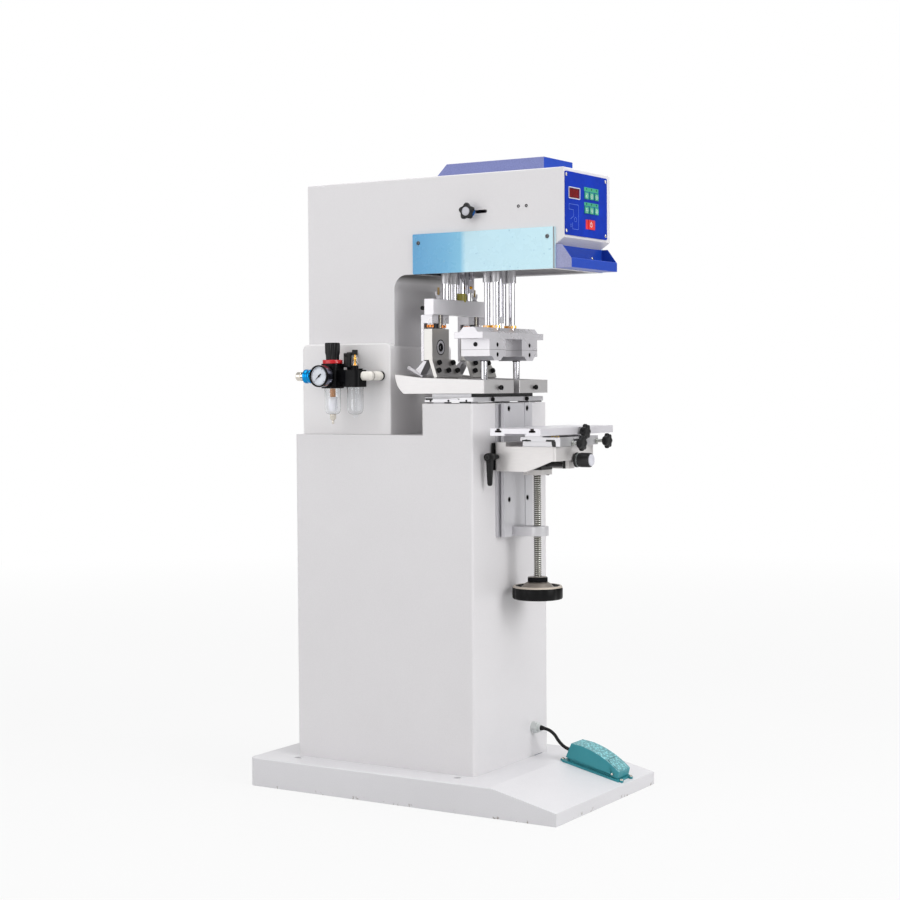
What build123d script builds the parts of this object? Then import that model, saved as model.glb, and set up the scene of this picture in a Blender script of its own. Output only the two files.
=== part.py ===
from build123d import *
import os
from math import atan2, cos, degrees, pi, radians, sin, tan

os.makedirs("parts", exist_ok=True)

# Floor-standing two-station pad printing machine.
# X runs across the machine, -Y is its front, Z is up.
# The origin is the centre of the base's footprint, on the floor.
# All lengths are in millimetres.

# Shared clearances and small sizes
overrun = 2.0
fit_gap = 0.05
slip_gap = 0.3
panel_gap = 0.5
soft_edge = 0.8

# Base
base_width = 414.0
base_depth = 700.0
base_height = 57.0
base_lip_height = 24.6
base_slope_run = 142.0
base_wall = 6.0
base_corner_radius = 14.0
base_edge_radius = 3.0
anchor_spacing_x = 326.0
anchor_spacing_y = 374.6
anchor_centre_y = 73.4
anchor_hole_radius = 7.0

base_front = -base_depth / 2
base_rear = base_depth / 2
slope_top_y = base_front + base_slope_run
slope_drop = base_height - base_lip_height
slope_angle = degrees(atan2(slope_drop, base_slope_run))

# Column cabinet
sheet = 2.0
column_width = 291.6
column_front = -140.9
column_depth = 413.0
shoulder_height = 705.5
deck_rise = 61.1
deck_height = shoulder_height + deck_rise
deck_depth = 113.1
column_corner_radius = 5.0
service_width = 210.0
service_bottom = 140.0
service_top_drop = 85.5
service_top = shoulder_height - service_top_drop
service_lap = 14.0

column_half = column_width / 2
column_rear = column_front + column_depth
deck_rear = column_front + deck_depth

# Upright housing: neck, arm and control nose
housing_width = 188.8
housing_rear = 273.3
housing_rise = 500.1
housing_top = shoulder_height + housing_rise
neck_front = 66.3
neck_fillet = 28.0
arm_depth = 187.6
arm_bottom = housing_top - arm_depth
nose_front = -311.2
nose_step_y = -293.0
nose_bevel_start = 45.0
nose_bevel_bottom = arm_bottom + nose_bevel_start
nose_bevel_rise = 12.5
nose_bevel_top = nose_bevel_bottom + nose_bevel_rise
housing_edge_radius = 3.0
mouth_half_width = 82.0
mouth_front = -284.0
mouth_rear = 22.0

housing_half = housing_width / 2

# Lower casing round the neck
casing_side = 20.0
casing_rise = 179.5
casing_top = shoulder_height + casing_rise
casing_edge_radius = 12.0
casing_corner_radius = 3.0

casing_half = housing_half + casing_side
casing_front = neck_front - panel_gap - sheet
casing_rear = housing_rear + panel_gap + sheet


def side_profile(points, half_width):
    """A solid with the given Y-Z outline, extruded across the machine."""
    with BuildPart() as body:
        with BuildSketch(Plane.YZ.offset(-half_width)):
            with BuildLine():
                Polyline(*points, close=True)
            make_face()
        extrude(amount=2 * half_width)
    return body.part


def block(x0, x1, y0, y1, z0, z1):
    """Adds a rectangular block between two corners to the part being built."""
    with Locations(((x0 + x1) / 2, (y0 + y1) / 2, (z0 + z1) / 2)):
        Box(x1 - x0, y1 - y0, z1 - z0)


def pocket(x0, x1, y0, y1, z0, z1):
    """Takes a rectangular block between two corners out of the part being built."""
    with Locations(((x0 + x1) / 2, (y0 + y1) / 2, (z0 + z1) / 2)):
        Box(x1 - x0, y1 - y0, z1 - z0, mode=Mode.SUBTRACT)


def upright(x, y, z0, z1, radius, mode=Mode.ADD):
    """A vertical round bar or bore."""
    with BuildSketch(Plane.XY.offset(z0)) as disc:
        with Locations((x, y)):
            Circle(radius)
    extrude(disc.sketch, amount=z1 - z0, mode=mode)


def along_y(x, z, y0, y1, radius, mode=Mode.ADD):
    """A round bar or bore from y0 forward to y1, where y1 is nearer the front."""
    with BuildSketch(Plane.XZ.offset(-y0)) as disc:
        with Locations((x, z)):
            Circle(radius)
    extrude(disc.sketch, amount=y0 - y1, mode=mode)


def along_x(y, z, x0, x1, radius, mode=Mode.ADD):
    """A round bar or bore from x0 to x1, where x1 is the larger."""
    with BuildSketch(Plane.YZ.offset(x0)) as disc:
        with Locations((y, z)):
            Circle(radius)
    extrude(disc.sketch, amount=x1 - x0, mode=mode)


# Base: a welded box with an open underside and a ramp at the front for the foot
base_points = [
    (base_rear, 0),
    (base_front, 0),
    (base_front, base_lip_height),
    (slope_top_y, base_height),
    (base_rear, base_height),
]
base_cavity_points = [
    (base_rear - base_wall, -overrun),
    (base_front + base_wall, -overrun),
    (base_front + base_wall, base_lip_height - base_wall),
    (slope_top_y, base_height - base_wall),
    (base_rear - base_wall, base_height - base_wall),
]
with BuildPart() as base_plate:
    add(side_profile(base_points, base_width / 2))
    rear_corners = base_plate.edges().filter_by(Axis.Z).group_by(Axis.Y)[-1]
    fillet(rear_corners, base_corner_radius)
    fillet(base_plate.faces().sort_by(Axis.Z)[-1].edges(), base_edge_radius)
    add(side_profile(base_cavity_points, base_width / 2 - base_wall), mode=Mode.SUBTRACT)
    with BuildSketch(Plane.XY.offset(base_height + overrun)):
        with Locations((0, anchor_centre_y)):
            with GridLocations(anchor_spacing_x, anchor_spacing_y, 2, 2):
                Circle(anchor_hole_radius)
    extrude(amount=-(base_wall + 2 * overrun), mode=Mode.SUBTRACT)
base_plate.part.label = "base_plate"
export_step(base_plate.part, "parts/base_plate.step")

# Column: a sheet-metal cabinet with a raised front deck and a service opening
column_points = [
    (column_rear, base_height),
    (column_front, base_height),
    (column_front, deck_height),
    (deck_rear, deck_height),
    (deck_rear, shoulder_height),
    (column_rear, shoulder_height),
]
column_cavity_points = [
    (column_rear - sheet, base_height - overrun),
    (column_front + sheet, base_height - overrun),
    (column_front + sheet, deck_height - sheet),
    (deck_rear - sheet, deck_height - sheet),
    (deck_rear - sheet, shoulder_height - sheet),
    (column_rear - sheet, shoulder_height - sheet),
]
with BuildPart() as column:
    add(side_profile(column_points, column_half))
    fillet(column.edges().filter_by(Axis.Z), column_corner_radius)
    add(side_profile(column_cavity_points, column_half - sheet), mode=Mode.SUBTRACT)
    pocket(
        -service_width / 2,
        service_width / 2,
        column_rear - sheet - overrun,
        column_rear + overrun,
        service_bottom,
        service_top,
    )
column.part.label = "column"
export_step(column.part, "parts/column.step")

# Rear cover: a flat sheet over the service opening
with BuildPart() as rear_cover:
    block(
        -service_width / 2 - service_lap,
        service_width / 2 + service_lap,
        column_rear,
        column_rear + sheet,
        service_bottom - service_lap,
        service_top + service_lap,
    )
    fillet(rear_cover.edges().filter_by(Axis.Y), column_corner_radius)
rear_cover.part.label = "rear_cover"
export_step(rear_cover.part, "parts/rear_cover.step")

# Lower casing: an open-bottomed box on the column's shoulder, with the neck through its top
with BuildPart() as lower_casing:
    block(-casing_half, casing_half, casing_front, casing_rear, shoulder_height, casing_top)
    top_edges = lower_casing.edges().filter_by(Axis.X).group_by(Axis.Z)[-1]
    fillet(top_edges, casing_edge_radius)
    fillet(lower_casing.edges().filter_by(Axis.Z), casing_corner_radius)
    pocket(
        -casing_half + sheet,
        casing_half - sheet,
        casing_front + sheet,
        casing_rear - sheet,
        shoulder_height - overrun,
        casing_top - casing_edge_radius,
    )
    pocket(
        -housing_half - panel_gap,
        housing_half + panel_gap,
        casing_front + sheet,
        casing_rear - sheet,
        shoulder_height - overrun,
        casing_top + overrun,
    )
lower_casing.part.label = "lower_casing"
export_step(lower_casing.part, "parts/lower_casing.step")

# Control panel opening and key grid, on the nose
panel_left = -92.0
panel_right = 79.0
panel_stand = 62.0
panel_bottom = arm_bottom + panel_stand
panel_top_margin = 7.6
panel_top = housing_top - panel_top_margin
panel_thick = 2.0
panel_corner_radius = 3.0
panel_border = 6.0
key_columns = 3
key_rows = 2
key_width = 16.0
key_height = 13.0
key_pitch_x = 20.5
key_pitch_z = 27.0
key_grid_x = 12.5
key_grid_rise = 65.0
key_grid_z = panel_bottom + key_grid_rise
key_proud = 1.4
key_depth = 6.0
key_edge_radius = 1.2
stop_width = 26.0
stop_height = 18.0
stop_key_rise = 24.5
stop_z = panel_bottom + stop_key_rise

panel_front = nose_front - panel_thick

# Stroke stop knob on the left cheek of the arm
stop_y = -112.0
stop_axis_rise = 114.0
stop_z_axis = arm_bottom + stop_axis_rise
stop_slot_front = -146.0
stop_slot_rear = -104.0
stop_stud_radius = 3.0
stop_slot_half = stop_stud_radius + slip_gap

# Housing: neck, arm and nose in one bent and welded shell
housing_points = [
    (housing_rear, shoulder_height),
    (neck_front, shoulder_height),
    (neck_front, arm_bottom),
    (nose_step_y, arm_bottom),
    (nose_step_y, nose_bevel_bottom),
    (nose_front, nose_bevel_top),
    (nose_front, housing_top),
    (housing_rear, housing_top),
]
housing_cavity_points = [
    (housing_rear - sheet, shoulder_height - overrun),
    (neck_front + sheet, shoulder_height - overrun),
    (neck_front + sheet, arm_bottom + sheet),
    (nose_step_y + sheet, arm_bottom + sheet),
    (nose_step_y + sheet, nose_bevel_bottom + sheet),
    (nose_front + sheet, nose_bevel_top + sheet),
    (nose_front + sheet, housing_top - sheet),
    (housing_rear - sheet, housing_top - sheet),
]
with BuildPart() as housing:
    add(side_profile(housing_points, housing_half))
    throat = (
        housing.edges()
        .filter_by(Axis.X)
        .sort_by_distance((0, neck_front, arm_bottom))[0]
    )
    fillet(throat, neck_fillet)
    fillet(housing.faces().sort_by(Axis.Z)[-1].edges(), housing_edge_radius)
    with BuildPart(mode=Mode.PRIVATE) as housing_cavity:
        add(side_profile(housing_cavity_points, housing_half - sheet))
        inner_throat = (
            housing_cavity.edges()
            .filter_by(Axis.X)
            .sort_by_distance((0, neck_front + sheet, arm_bottom + sheet))[0]
        )
        fillet(inner_throat, neck_fillet)
    add(housing_cavity.part, mode=Mode.SUBTRACT)
    pocket(
        -mouth_half_width,
        mouth_half_width,
        mouth_front,
        mouth_rear,
        arm_bottom - overrun,
        arm_bottom + sheet + overrun,
    )
    pocket(
        panel_left + panel_border,
        panel_right - panel_border,
        nose_front - overrun,
        nose_front + sheet + overrun,
        panel_bottom + panel_border,
        panel_top - panel_border,
    )
    with BuildSketch(Plane.YZ.offset(-housing_half - overrun)):
        with Locations(((stop_slot_front + stop_slot_rear) / 2, stop_z_axis)):
            SlotOverall(stop_slot_rear - stop_slot_front, 2 * stop_slot_half)
    extrude(amount=sheet + 2 * overrun, mode=Mode.SUBTRACT)
housing.part.label = "housing"
export_step(housing.part, "parts/housing.step")

# Side covers: a thick sheet on each cheek of the arm, over the carriage
cover_front = -293.3
cover_rear = 20.1
cover_height = 77.4
cover_top = arm_bottom + cover_height
cover_thick = 4.0
cover_corner_radius = 2.0
with BuildPart() as side_covers:
    for side in (-1, 1):
        inner_x = side * housing_half
        outer_x = side * (housing_half + cover_thick)
        block(
            min(inner_x, outer_x),
            max(inner_x, outer_x),
            cover_front,
            cover_rear,
            arm_bottom,
            cover_top,
        )
    fillet(side_covers.edges().filter_by(Axis.X), cover_corner_radius)
side_covers.part.label = "side_covers"
export_step(side_covers.part, "parts/side_covers.step")

# Top tray: an open sheet-metal tool tray on the arm, bevelled at its rear
tray_sheet = 1.5
top_tray_width = 116.0
top_tray_front = -249.7
top_tray_rear = -8.0
top_tray_height = 26.0
top_tray_top = housing_top + top_tray_height
top_tray_points = [
    (top_tray_rear, housing_top),
    (top_tray_front, housing_top),
    (top_tray_front, top_tray_top),
    (top_tray_rear - top_tray_height, top_tray_top),
]
top_tray_hollow_points = [
    (top_tray_rear - tray_sheet, housing_top + tray_sheet),
    (top_tray_front + tray_sheet, housing_top + tray_sheet),
    (top_tray_front + tray_sheet, top_tray_top + overrun),
    (top_tray_rear - top_tray_height - overrun - tray_sheet, top_tray_top + overrun),
]
with BuildPart() as top_tray:
    add(side_profile(top_tray_points, top_tray_width / 2))
    add(
        side_profile(top_tray_hollow_points, top_tray_width / 2 - tray_sheet),
        mode=Mode.SUBTRACT,
    )
top_tray.part.label = "top_tray"
export_step(top_tray.part, "parts/top_tray.step")

# Front tray: a bent sheet shelf under the control nose, with raised wings
front_tray_depth = 34.0
front_tray_lip = 16.5
front_tray_back = 43.5
front_tray_wing = 14.0
front_tray_stand = 1.0
front_tray_bottom = arm_bottom + front_tray_stand

front_tray_rear = nose_step_y
front_tray_front = front_tray_rear - front_tray_depth
front_tray_points = [
    (front_tray_rear, front_tray_bottom),
    (front_tray_front, front_tray_bottom),
    (front_tray_front, front_tray_bottom + front_tray_lip),
    (front_tray_rear - front_tray_wing, front_tray_bottom + front_tray_back),
    (front_tray_rear, front_tray_bottom + front_tray_back),
]
with BuildPart() as front_tray:
    add(side_profile(front_tray_points, housing_half))
    pocket(
        -housing_half + tray_sheet,
        housing_half - tray_sheet,
        front_tray_front + tray_sheet,
        front_tray_rear - tray_sheet,
        front_tray_bottom + tray_sheet,
        front_tray_bottom + front_tray_back + overrun,
    )
front_tray.part.label = "front_tray"
export_step(front_tray.part, "parts/front_tray.step")

# Control panel: a plate with a display window and openings for its keys
display_left = -78.0
display_right = -36.0
display_rise = 70.0
display_bottom = panel_bottom + display_rise
display_height = 18.0
display_top = display_bottom + display_height
display_depth = 3.0
panel_width = panel_right - panel_left
panel_height = panel_top - panel_bottom
panel_x = (panel_left + panel_right) / 2
panel_z = (panel_bottom + panel_top) / 2
with BuildPart() as control_panel:
    with BuildSketch(Plane.XZ.offset(-nose_front)):
        with Locations((panel_x, panel_z)):
            RectangleRounded(panel_width, panel_height, panel_corner_radius)
        with Locations((key_grid_x, key_grid_z)):
            with GridLocations(key_pitch_x, key_pitch_z, key_columns, key_rows):
                Rectangle(
                    key_width + 2 * slip_gap, key_height + 2 * slip_gap, mode=Mode.SUBTRACT
                )
        with Locations((key_grid_x, stop_z)):
            Rectangle(
                stop_width + 2 * slip_gap, stop_height + 2 * slip_gap, mode=Mode.SUBTRACT
            )
        with Locations(((display_left + display_right) / 2, (display_bottom + display_top) / 2)):
            Rectangle(
                display_right - display_left, display_top - display_bottom, mode=Mode.SUBTRACT
            )
    extrude(amount=panel_thick)
control_panel.part.label = "control_panel"
export_step(control_panel.part, "parts/control_panel.step")

with BuildPart() as display_window:
    block(
        display_left,
        display_right,
        nose_front - panel_thick + soft_edge,
        nose_front + display_depth,
        display_bottom,
        display_top,
    )
display_window.part.label = "display_window"
export_step(display_window.part, "parts/display_window.step")

# Keys: each a separate cap that travels into the panel
key_number = 0
for row in range(key_rows):
    for column_index in range(key_columns):
        key_number += 1
        key_x = key_grid_x + (column_index - (key_columns - 1) / 2) * key_pitch_x
        key_z = key_grid_z - (row - (key_rows - 1) / 2) * key_pitch_z
        with BuildPart() as key:
            with BuildSketch(Plane.XZ.offset(-panel_front + key_proud)):
                with Locations((key_x, key_z)):
                    RectangleRounded(key_width, key_height, key_edge_radius)
            extrude(amount=-key_depth)
        key.part.label = f"key_{key_number}"
        export_step(key.part, f"parts/key_{key_number}.step")

with BuildPart() as stop_key:
    with BuildSketch(Plane.XZ.offset(-panel_front + key_proud)):
        with Locations((key_grid_x, stop_z)):
            RectangleRounded(stop_width, stop_height, key_edge_radius)
    extrude(amount=-key_depth)
stop_key.part.label = "stop_key"
export_step(stop_key.part, "parts/stop_key.step")

# Carriage guides: two shafts along the arm, carried by the nose wall and a rear bridge
shaft_radius = 10.0
shaft_x = 68.0
shaft_rise = 34.0
shaft_z = arm_bottom + shaft_rise
bridge_rear = 92.0
bridge_thick = 14.0
bridge_rise = 40.0
bridge_top = shaft_z + bridge_rise
bridge_half = housing_half - sheet
bridge_front = bridge_rear - bridge_thick
bridge_bottom = arm_bottom + sheet + neck_fillet

# Print head stations and travel
head_y = -118.0
pad_pitch = 126.0
blade_pitch = 137.0
doctor_y = -20.0

# Carriage block and its guide bushes
carriage_front = -168.0
carriage_rear = 10.0
carriage_half = 88.0
carriage_stand = 12.0
carriage_bottom = arm_bottom + carriage_stand
carriage_height = 54.0
carriage_top = carriage_bottom + carriage_height
bush_drop = 29.0
bush_bottom = carriage_bottom - bush_drop
bush_radius = 8.8
guide_radius = 6.0
guide_x = 31.0
guide_y = 9.6
doctor_guide_radius = 6.8
doctor_guide_x = 42.0
flood_rod_x = -12.0
stop_tube_x = 14.5
stop_tube_radius = 10.4
pad_piston_radius = 5.0

pad_guides = [
    (sx * guide_x, head_y + sy * guide_y) for sx in (-1, 1) for sy in (-1, 1)
]
doctor_guides = [(-doctor_guide_x, doctor_y), (doctor_guide_x, doctor_y)]
doctor_rods = doctor_guides + [(flood_rod_x, doctor_y)]

# Air cylinder that drives the carriage, along the top of the arm
drive_rise = 122.0
drive_z = arm_bottom + drive_rise
drive_radius = 20.0
drive_bore = 16.0
drive_cap = 8.0
drive_rod_radius = 5.0
drive_barrel_front = 96.0
drive_barrel_rear = 250.0
drive_piston_length = 12.0
drive_horn_thick = 12.0

with BuildPart() as carriage_drive:
    block(-bridge_half, bridge_half, bridge_front, bridge_rear, bridge_bottom, bridge_top)
    for sx in (-1, 1):
        along_y(sx * shaft_x, shaft_z, bridge_rear, nose_step_y + sheet, shaft_radius)
    block(
        -drive_radius,
        drive_radius,
        bridge_rear,
        drive_barrel_rear,
        bridge_top - bridge_thick,
        drive_z - drive_radius + soft_edge,
    )
    along_y(0, drive_z, drive_barrel_rear, drive_barrel_front, drive_radius)
    along_y(
        0,
        drive_z,
        drive_barrel_rear - drive_cap,
        drive_barrel_front + drive_cap,
        drive_bore,
        Mode.SUBTRACT,
    )
    along_y(
        0,
        drive_z,
        drive_barrel_front + drive_cap + overrun,
        drive_barrel_front - overrun,
        drive_rod_radius + fit_gap,
        Mode.SUBTRACT,
    )
carriage_drive.part.label = "carriage_drive"
export_step(carriage_drive.part, "parts/carriage_drive.step")

# Head cylinders above the carriage
pad_cylinder_radius = 23.0
pad_cylinder_bore = 18.0
pad_cylinder_gap = 9.6
pad_cylinder_top = housing_top - pad_cylinder_gap
pad_cylinder_cap = 5.0
pad_piston_length = 8.0
flood_cylinder_radius = 11.0
stop_cylinder_radius = 13.5
doctor_cylinder_height = 66.0
doctor_cylinder_top = carriage_top + doctor_cylinder_height

# The carriage's horn holds the drive rod, whose piston runs inside the barrel
drive_piston_front = drive_barrel_rear - drive_cap - drive_piston_length - overrun
with BuildPart() as carriage:
    block(-carriage_half, carriage_half, carriage_front, carriage_rear, carriage_bottom, carriage_top)
    block(
        -drive_radius,
        drive_radius,
        carriage_rear - drive_horn_thick,
        carriage_rear,
        carriage_top,
        drive_z + drive_radius,
    )
    for x, y in pad_guides:
        upright(x, y, bush_bottom, carriage_bottom, bush_radius)
    for x, y in doctor_rods:
        upright(x, y, bush_bottom, carriage_bottom, bush_radius)
    for sx in (-1, 1):
        along_y(
            sx * shaft_x,
            shaft_z,
            carriage_rear + overrun,
            carriage_front - overrun,
            shaft_radius + fit_gap,
            Mode.SUBTRACT,
        )
    for x, y in pad_guides:
        upright(x, y, bush_bottom - overrun, carriage_top + overrun, guide_radius + fit_gap, Mode.SUBTRACT)
    for x, y in doctor_rods:
        upright(
            x, y, bush_bottom - overrun, carriage_top + overrun,
            doctor_guide_radius + fit_gap, Mode.SUBTRACT,
        )
    upright(
        stop_tube_x, doctor_y, carriage_bottom - overrun, carriage_top + overrun,
        stop_tube_radius + fit_gap, Mode.SUBTRACT,
    )
    upright(
        0, head_y, carriage_bottom - overrun, carriage_top + overrun,
        pad_piston_radius + fit_gap, Mode.SUBTRACT,
    )
    along_y(
        0, drive_z, drive_piston_front, carriage_rear - drive_horn_thick, drive_rod_radius
    )
    along_y(
        0, drive_z, drive_piston_front + drive_piston_length, drive_piston_front,
        drive_bore - fit_gap,
    )
    upright(0, head_y, carriage_top, pad_cylinder_top, pad_cylinder_radius)
    upright(
        0, head_y, carriage_top - overrun, pad_cylinder_top - pad_cylinder_cap,
        pad_cylinder_bore, Mode.SUBTRACT,
    )
    upright(flood_rod_x, doctor_y, carriage_top, doctor_cylinder_top, flood_cylinder_radius)
    upright(stop_tube_x, doctor_y, carriage_top, doctor_cylinder_top, stop_cylinder_radius)
    upright(
        flood_rod_x, doctor_y, carriage_top - overrun, doctor_cylinder_top - pad_cylinder_cap,
        doctor_guide_radius + slip_gap, Mode.SUBTRACT,
    )
    upright(
        stop_tube_x, doctor_y, carriage_top - overrun, doctor_cylinder_top - pad_cylinder_cap,
        stop_tube_radius + slip_gap, Mode.SUBTRACT,
    )
carriage.part.label = "carriage"
export_step(carriage.part, "parts/carriage.step")

# Pad plate: a flanged bar with a bevelled ridge along its top
pad_plate_half = 119.5
pad_plate_depth = 63.5
pad_plate_rise = 123.9
pad_plate_bottom = deck_height + pad_plate_rise
pad_plate_flange = 12.5
ridge_height = 9.5
ridge_base = 40.0
ridge_crest = 24.0
pad_plate_top = pad_plate_bottom + pad_plate_flange
ridge_top = pad_plate_top + ridge_height
pad_plate_points = [
    (head_y + pad_plate_depth / 2, pad_plate_bottom),
    (head_y - pad_plate_depth / 2, pad_plate_bottom),
    (head_y - pad_plate_depth / 2, pad_plate_top),
    (head_y - ridge_base / 2, pad_plate_top),
    (head_y - ridge_crest / 2, ridge_top),
    (head_y + ridge_crest / 2, ridge_top),
    (head_y + ridge_base / 2, pad_plate_top),
    (head_y + pad_plate_depth / 2, pad_plate_top),
]
with BuildPart() as pad_plate:
    add(side_profile(pad_plate_points, pad_plate_half))
    for x, y in pad_guides:
        upright(x, y, pad_plate_bottom - overrun, ridge_top + overrun, guide_radius, Mode.SUBTRACT)
    upright(
        0, head_y, pad_plate_bottom - overrun, ridge_top + overrun,
        pad_piston_radius, Mode.SUBTRACT,
    )
pad_plate.part.label = "pad_plate"
export_step(pad_plate.part, "parts/pad_plate.step")

# Pad guide rods with their stop collars, and the piston rod with its piston and nut
collar_radius = 8.6
collar_height = 5.0
rod_nut_bottom = ridge_top
rod_nut_height = 22.0
rod_nut_across = 15.0
pad_rods_stand = 8.0
pad_rods_top = carriage_top + pad_rods_stand
pad_piston_bottom = carriage_top + overrun
with BuildPart() as pad_guide_rods:
    for x, y in pad_guides:
        upright(x, y, pad_plate_bottom, pad_rods_top, guide_radius)
        upright(x, y, ridge_top, ridge_top + collar_height, collar_radius)
    upright(0, head_y, pad_plate_bottom, pad_piston_bottom + pad_piston_length, pad_piston_radius)
    upright(
        0, head_y, pad_piston_bottom, pad_piston_bottom + pad_piston_length,
        pad_cylinder_bore - fit_gap,
    )
    with BuildSketch(Plane.XY.offset(rod_nut_bottom)):
        with Locations((0, head_y)):
            RegularPolygon(rod_nut_across / 2, 6, major_radius=False)
    extrude(amount=rod_nut_height)
pad_guide_rods.part.label = "pad_guide_rods"
export_step(pad_guide_rods.part, "parts/pad_guide_rods.step")

# Pad holders: two clamp blocks each, with a bevelled foot, and the pad spindle
holder_width = 62.0
holder_depth = 63.0
holder_height = 33.5
holder_bottom = pad_plate_bottom - holder_height
holder_jaw_height = 12.6
holder_parting = holder_bottom + holder_jaw_height
holder_foot_height = 8.0
holder_foot_top = 42.0
holder_foot_bottom = 25.0
holder_screw_radius = 4.4
holder_screw_depth = 3.0
holder_screw_drop = 9.5
spindle_radius = 6.6
spindle_drop = 45.1
spindle_bottom = holder_bottom - spindle_drop
spindle_y = -119.0
holder_front = head_y - holder_depth / 2
holder_rear = head_y + holder_depth / 2
with BuildPart() as pad_holders:
    for side in (-1, 1):
        station_x = side * pad_pitch / 2
        block(
            station_x - holder_width / 2,
            station_x + holder_width / 2,
            holder_front,
            holder_rear,
            holder_bottom,
            pad_plate_bottom,
        )
        with BuildSketch(Plane.XZ.offset(-holder_rear)):
            with BuildLine():
                Polyline(
                    (station_x - holder_foot_top / 2, holder_bottom),
                    (station_x - holder_foot_bottom / 2, holder_bottom - holder_foot_height),
                    (station_x + holder_foot_bottom / 2, holder_bottom - holder_foot_height),
                    (station_x + holder_foot_top / 2, holder_bottom),
                    close=True,
                )
            make_face()
        extrude(amount=holder_depth)
        for z in (holder_parting + holder_screw_drop, holder_parting - holder_screw_drop):
            along_y(
                station_x, z, holder_front + holder_screw_depth, holder_front - overrun,
                holder_screw_radius, Mode.SUBTRACT,
            )
pad_holders.part.label = "pad_holders"
export_step(pad_holders.part, "parts/pad_holders.step")

with BuildPart() as pad_spindles:
    for side in (-1, 1):
        upright(
            side * pad_pitch / 2, spindle_y, spindle_bottom,
            holder_bottom - holder_foot_height, spindle_radius,
        )
pad_spindles.part.label = "pad_spindles"
export_step(pad_spindles.part, "parts/pad_spindles.step")

# Doctor crossbar, hung on two guides, the flood rod and the stop tube
crossbar_half = 104.0
crossbar_thick = 21.0
crossbar_rise = 171.9
crossbar_bottom = deck_height + crossbar_rise
crossbar_height = 30.8
crossbar_edge = 1.0
bumper_radius = 11.0
bumper_height = 17.0
bumper_sink = 3.0
hanger_leg_inner = 9.5
hanger_leg_outer = 31.0
hanger_leg_length = 16.0
hanger_leg_bottom = crossbar_bottom - hanger_leg_length
hanger_leg_thick = 19.0
hanger_plate_thick = 6.0
hanger_plate_length = 89.5
hanger_plate_bottom = crossbar_bottom - hanger_plate_length
crossbar_top = crossbar_bottom + crossbar_height
with BuildPart() as crossbar:
    block(
        -crossbar_half,
        crossbar_half,
        doctor_y - crossbar_thick / 2,
        doctor_y + crossbar_thick / 2,
        crossbar_bottom,
        crossbar_top,
    )
    chamfer(crossbar.edges().filter_by(Axis.X), crossbar_edge)
    for x, y in doctor_rods:
        upright(
            x, y, crossbar_bottom - overrun, crossbar_top + overrun,
            doctor_guide_radius, Mode.SUBTRACT,
        )
    upright(
        stop_tube_x, doctor_y, crossbar_top - bumper_sink, crossbar_top + overrun,
        bumper_radius, Mode.SUBTRACT,
    )
crossbar.part.label = "crossbar"
export_step(crossbar.part, "parts/crossbar.step")

doctor_rods_stand = 8.0
doctor_rods_top = carriage_top + doctor_rods_stand
bumper_bottom = crossbar_top - bumper_sink
bumper_top = bumper_bottom + bumper_height
with BuildPart() as doctor_guide_rods:
    for x, y in doctor_rods:
        upright(x, y, crossbar_bottom, doctor_rods_top, doctor_guide_radius)
    upright(stop_tube_x, doctor_y, bumper_top, doctor_rods_top, stop_tube_radius)
doctor_guide_rods.part.label = "doctor_guide_rods"
export_step(doctor_guide_rods.part, "parts/doctor_guide_rods.step")

with BuildPart() as bumper:
    upright(stop_tube_x, doctor_y, bumper_bottom, bumper_top, bumper_radius)
bumper.part.label = "bumper"
export_step(bumper.part, "parts/bumper.step")

# Blade hangers: a yoke and a back plate under each end of the crossbar, with the
# flood spout on an angled arm behind
blade_block_rear = -5.2
blade_block_front = -24.4
blade_block_gap = 10.8
blade_block_top = hanger_leg_bottom - blade_block_gap
blade_block_height = 60.7
blade_block_bottom = blade_block_top - blade_block_height
blade_block_half = 31.0
pivot_rise = 24.6
pivot_z = blade_block_bottom + pivot_rise
pivot_radius = 7.0
pivot_ring_radius = 15.0
pivot_recess = 2.5
level_gap = 2.3
thumb_radius = 6.5
thumb_x = 23.0
stud_radius = 4.5
stud_stand = 20.7
stud_top = crossbar_top + stud_stand
wing_span = 24.0
wing_height = 9.0
wing_thick = 3.0
spout_radius = 5.0
spout_bore = 3.2
spout_top_y = 51.0
spout_top_drop = 12.5
spout_top_z = hanger_plate_bottom - spout_top_drop
spout_foot_y = 16.0
spout_foot_drop = 31.0
spout_foot_z = hanger_plate_bottom - spout_foot_drop
spout_arm_half = 12.0
hanger_plate_rear = blade_block_rear + slip_gap + hanger_plate_thick
hanger_plate_front = blade_block_rear + slip_gap
hanger_y = (blade_block_front + blade_block_rear) / 2
thumb_bottom = blade_block_top + level_gap
spout_length = ((spout_top_y - spout_foot_y) ** 2 + (spout_top_z - spout_foot_z) ** 2) ** 0.5
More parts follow.
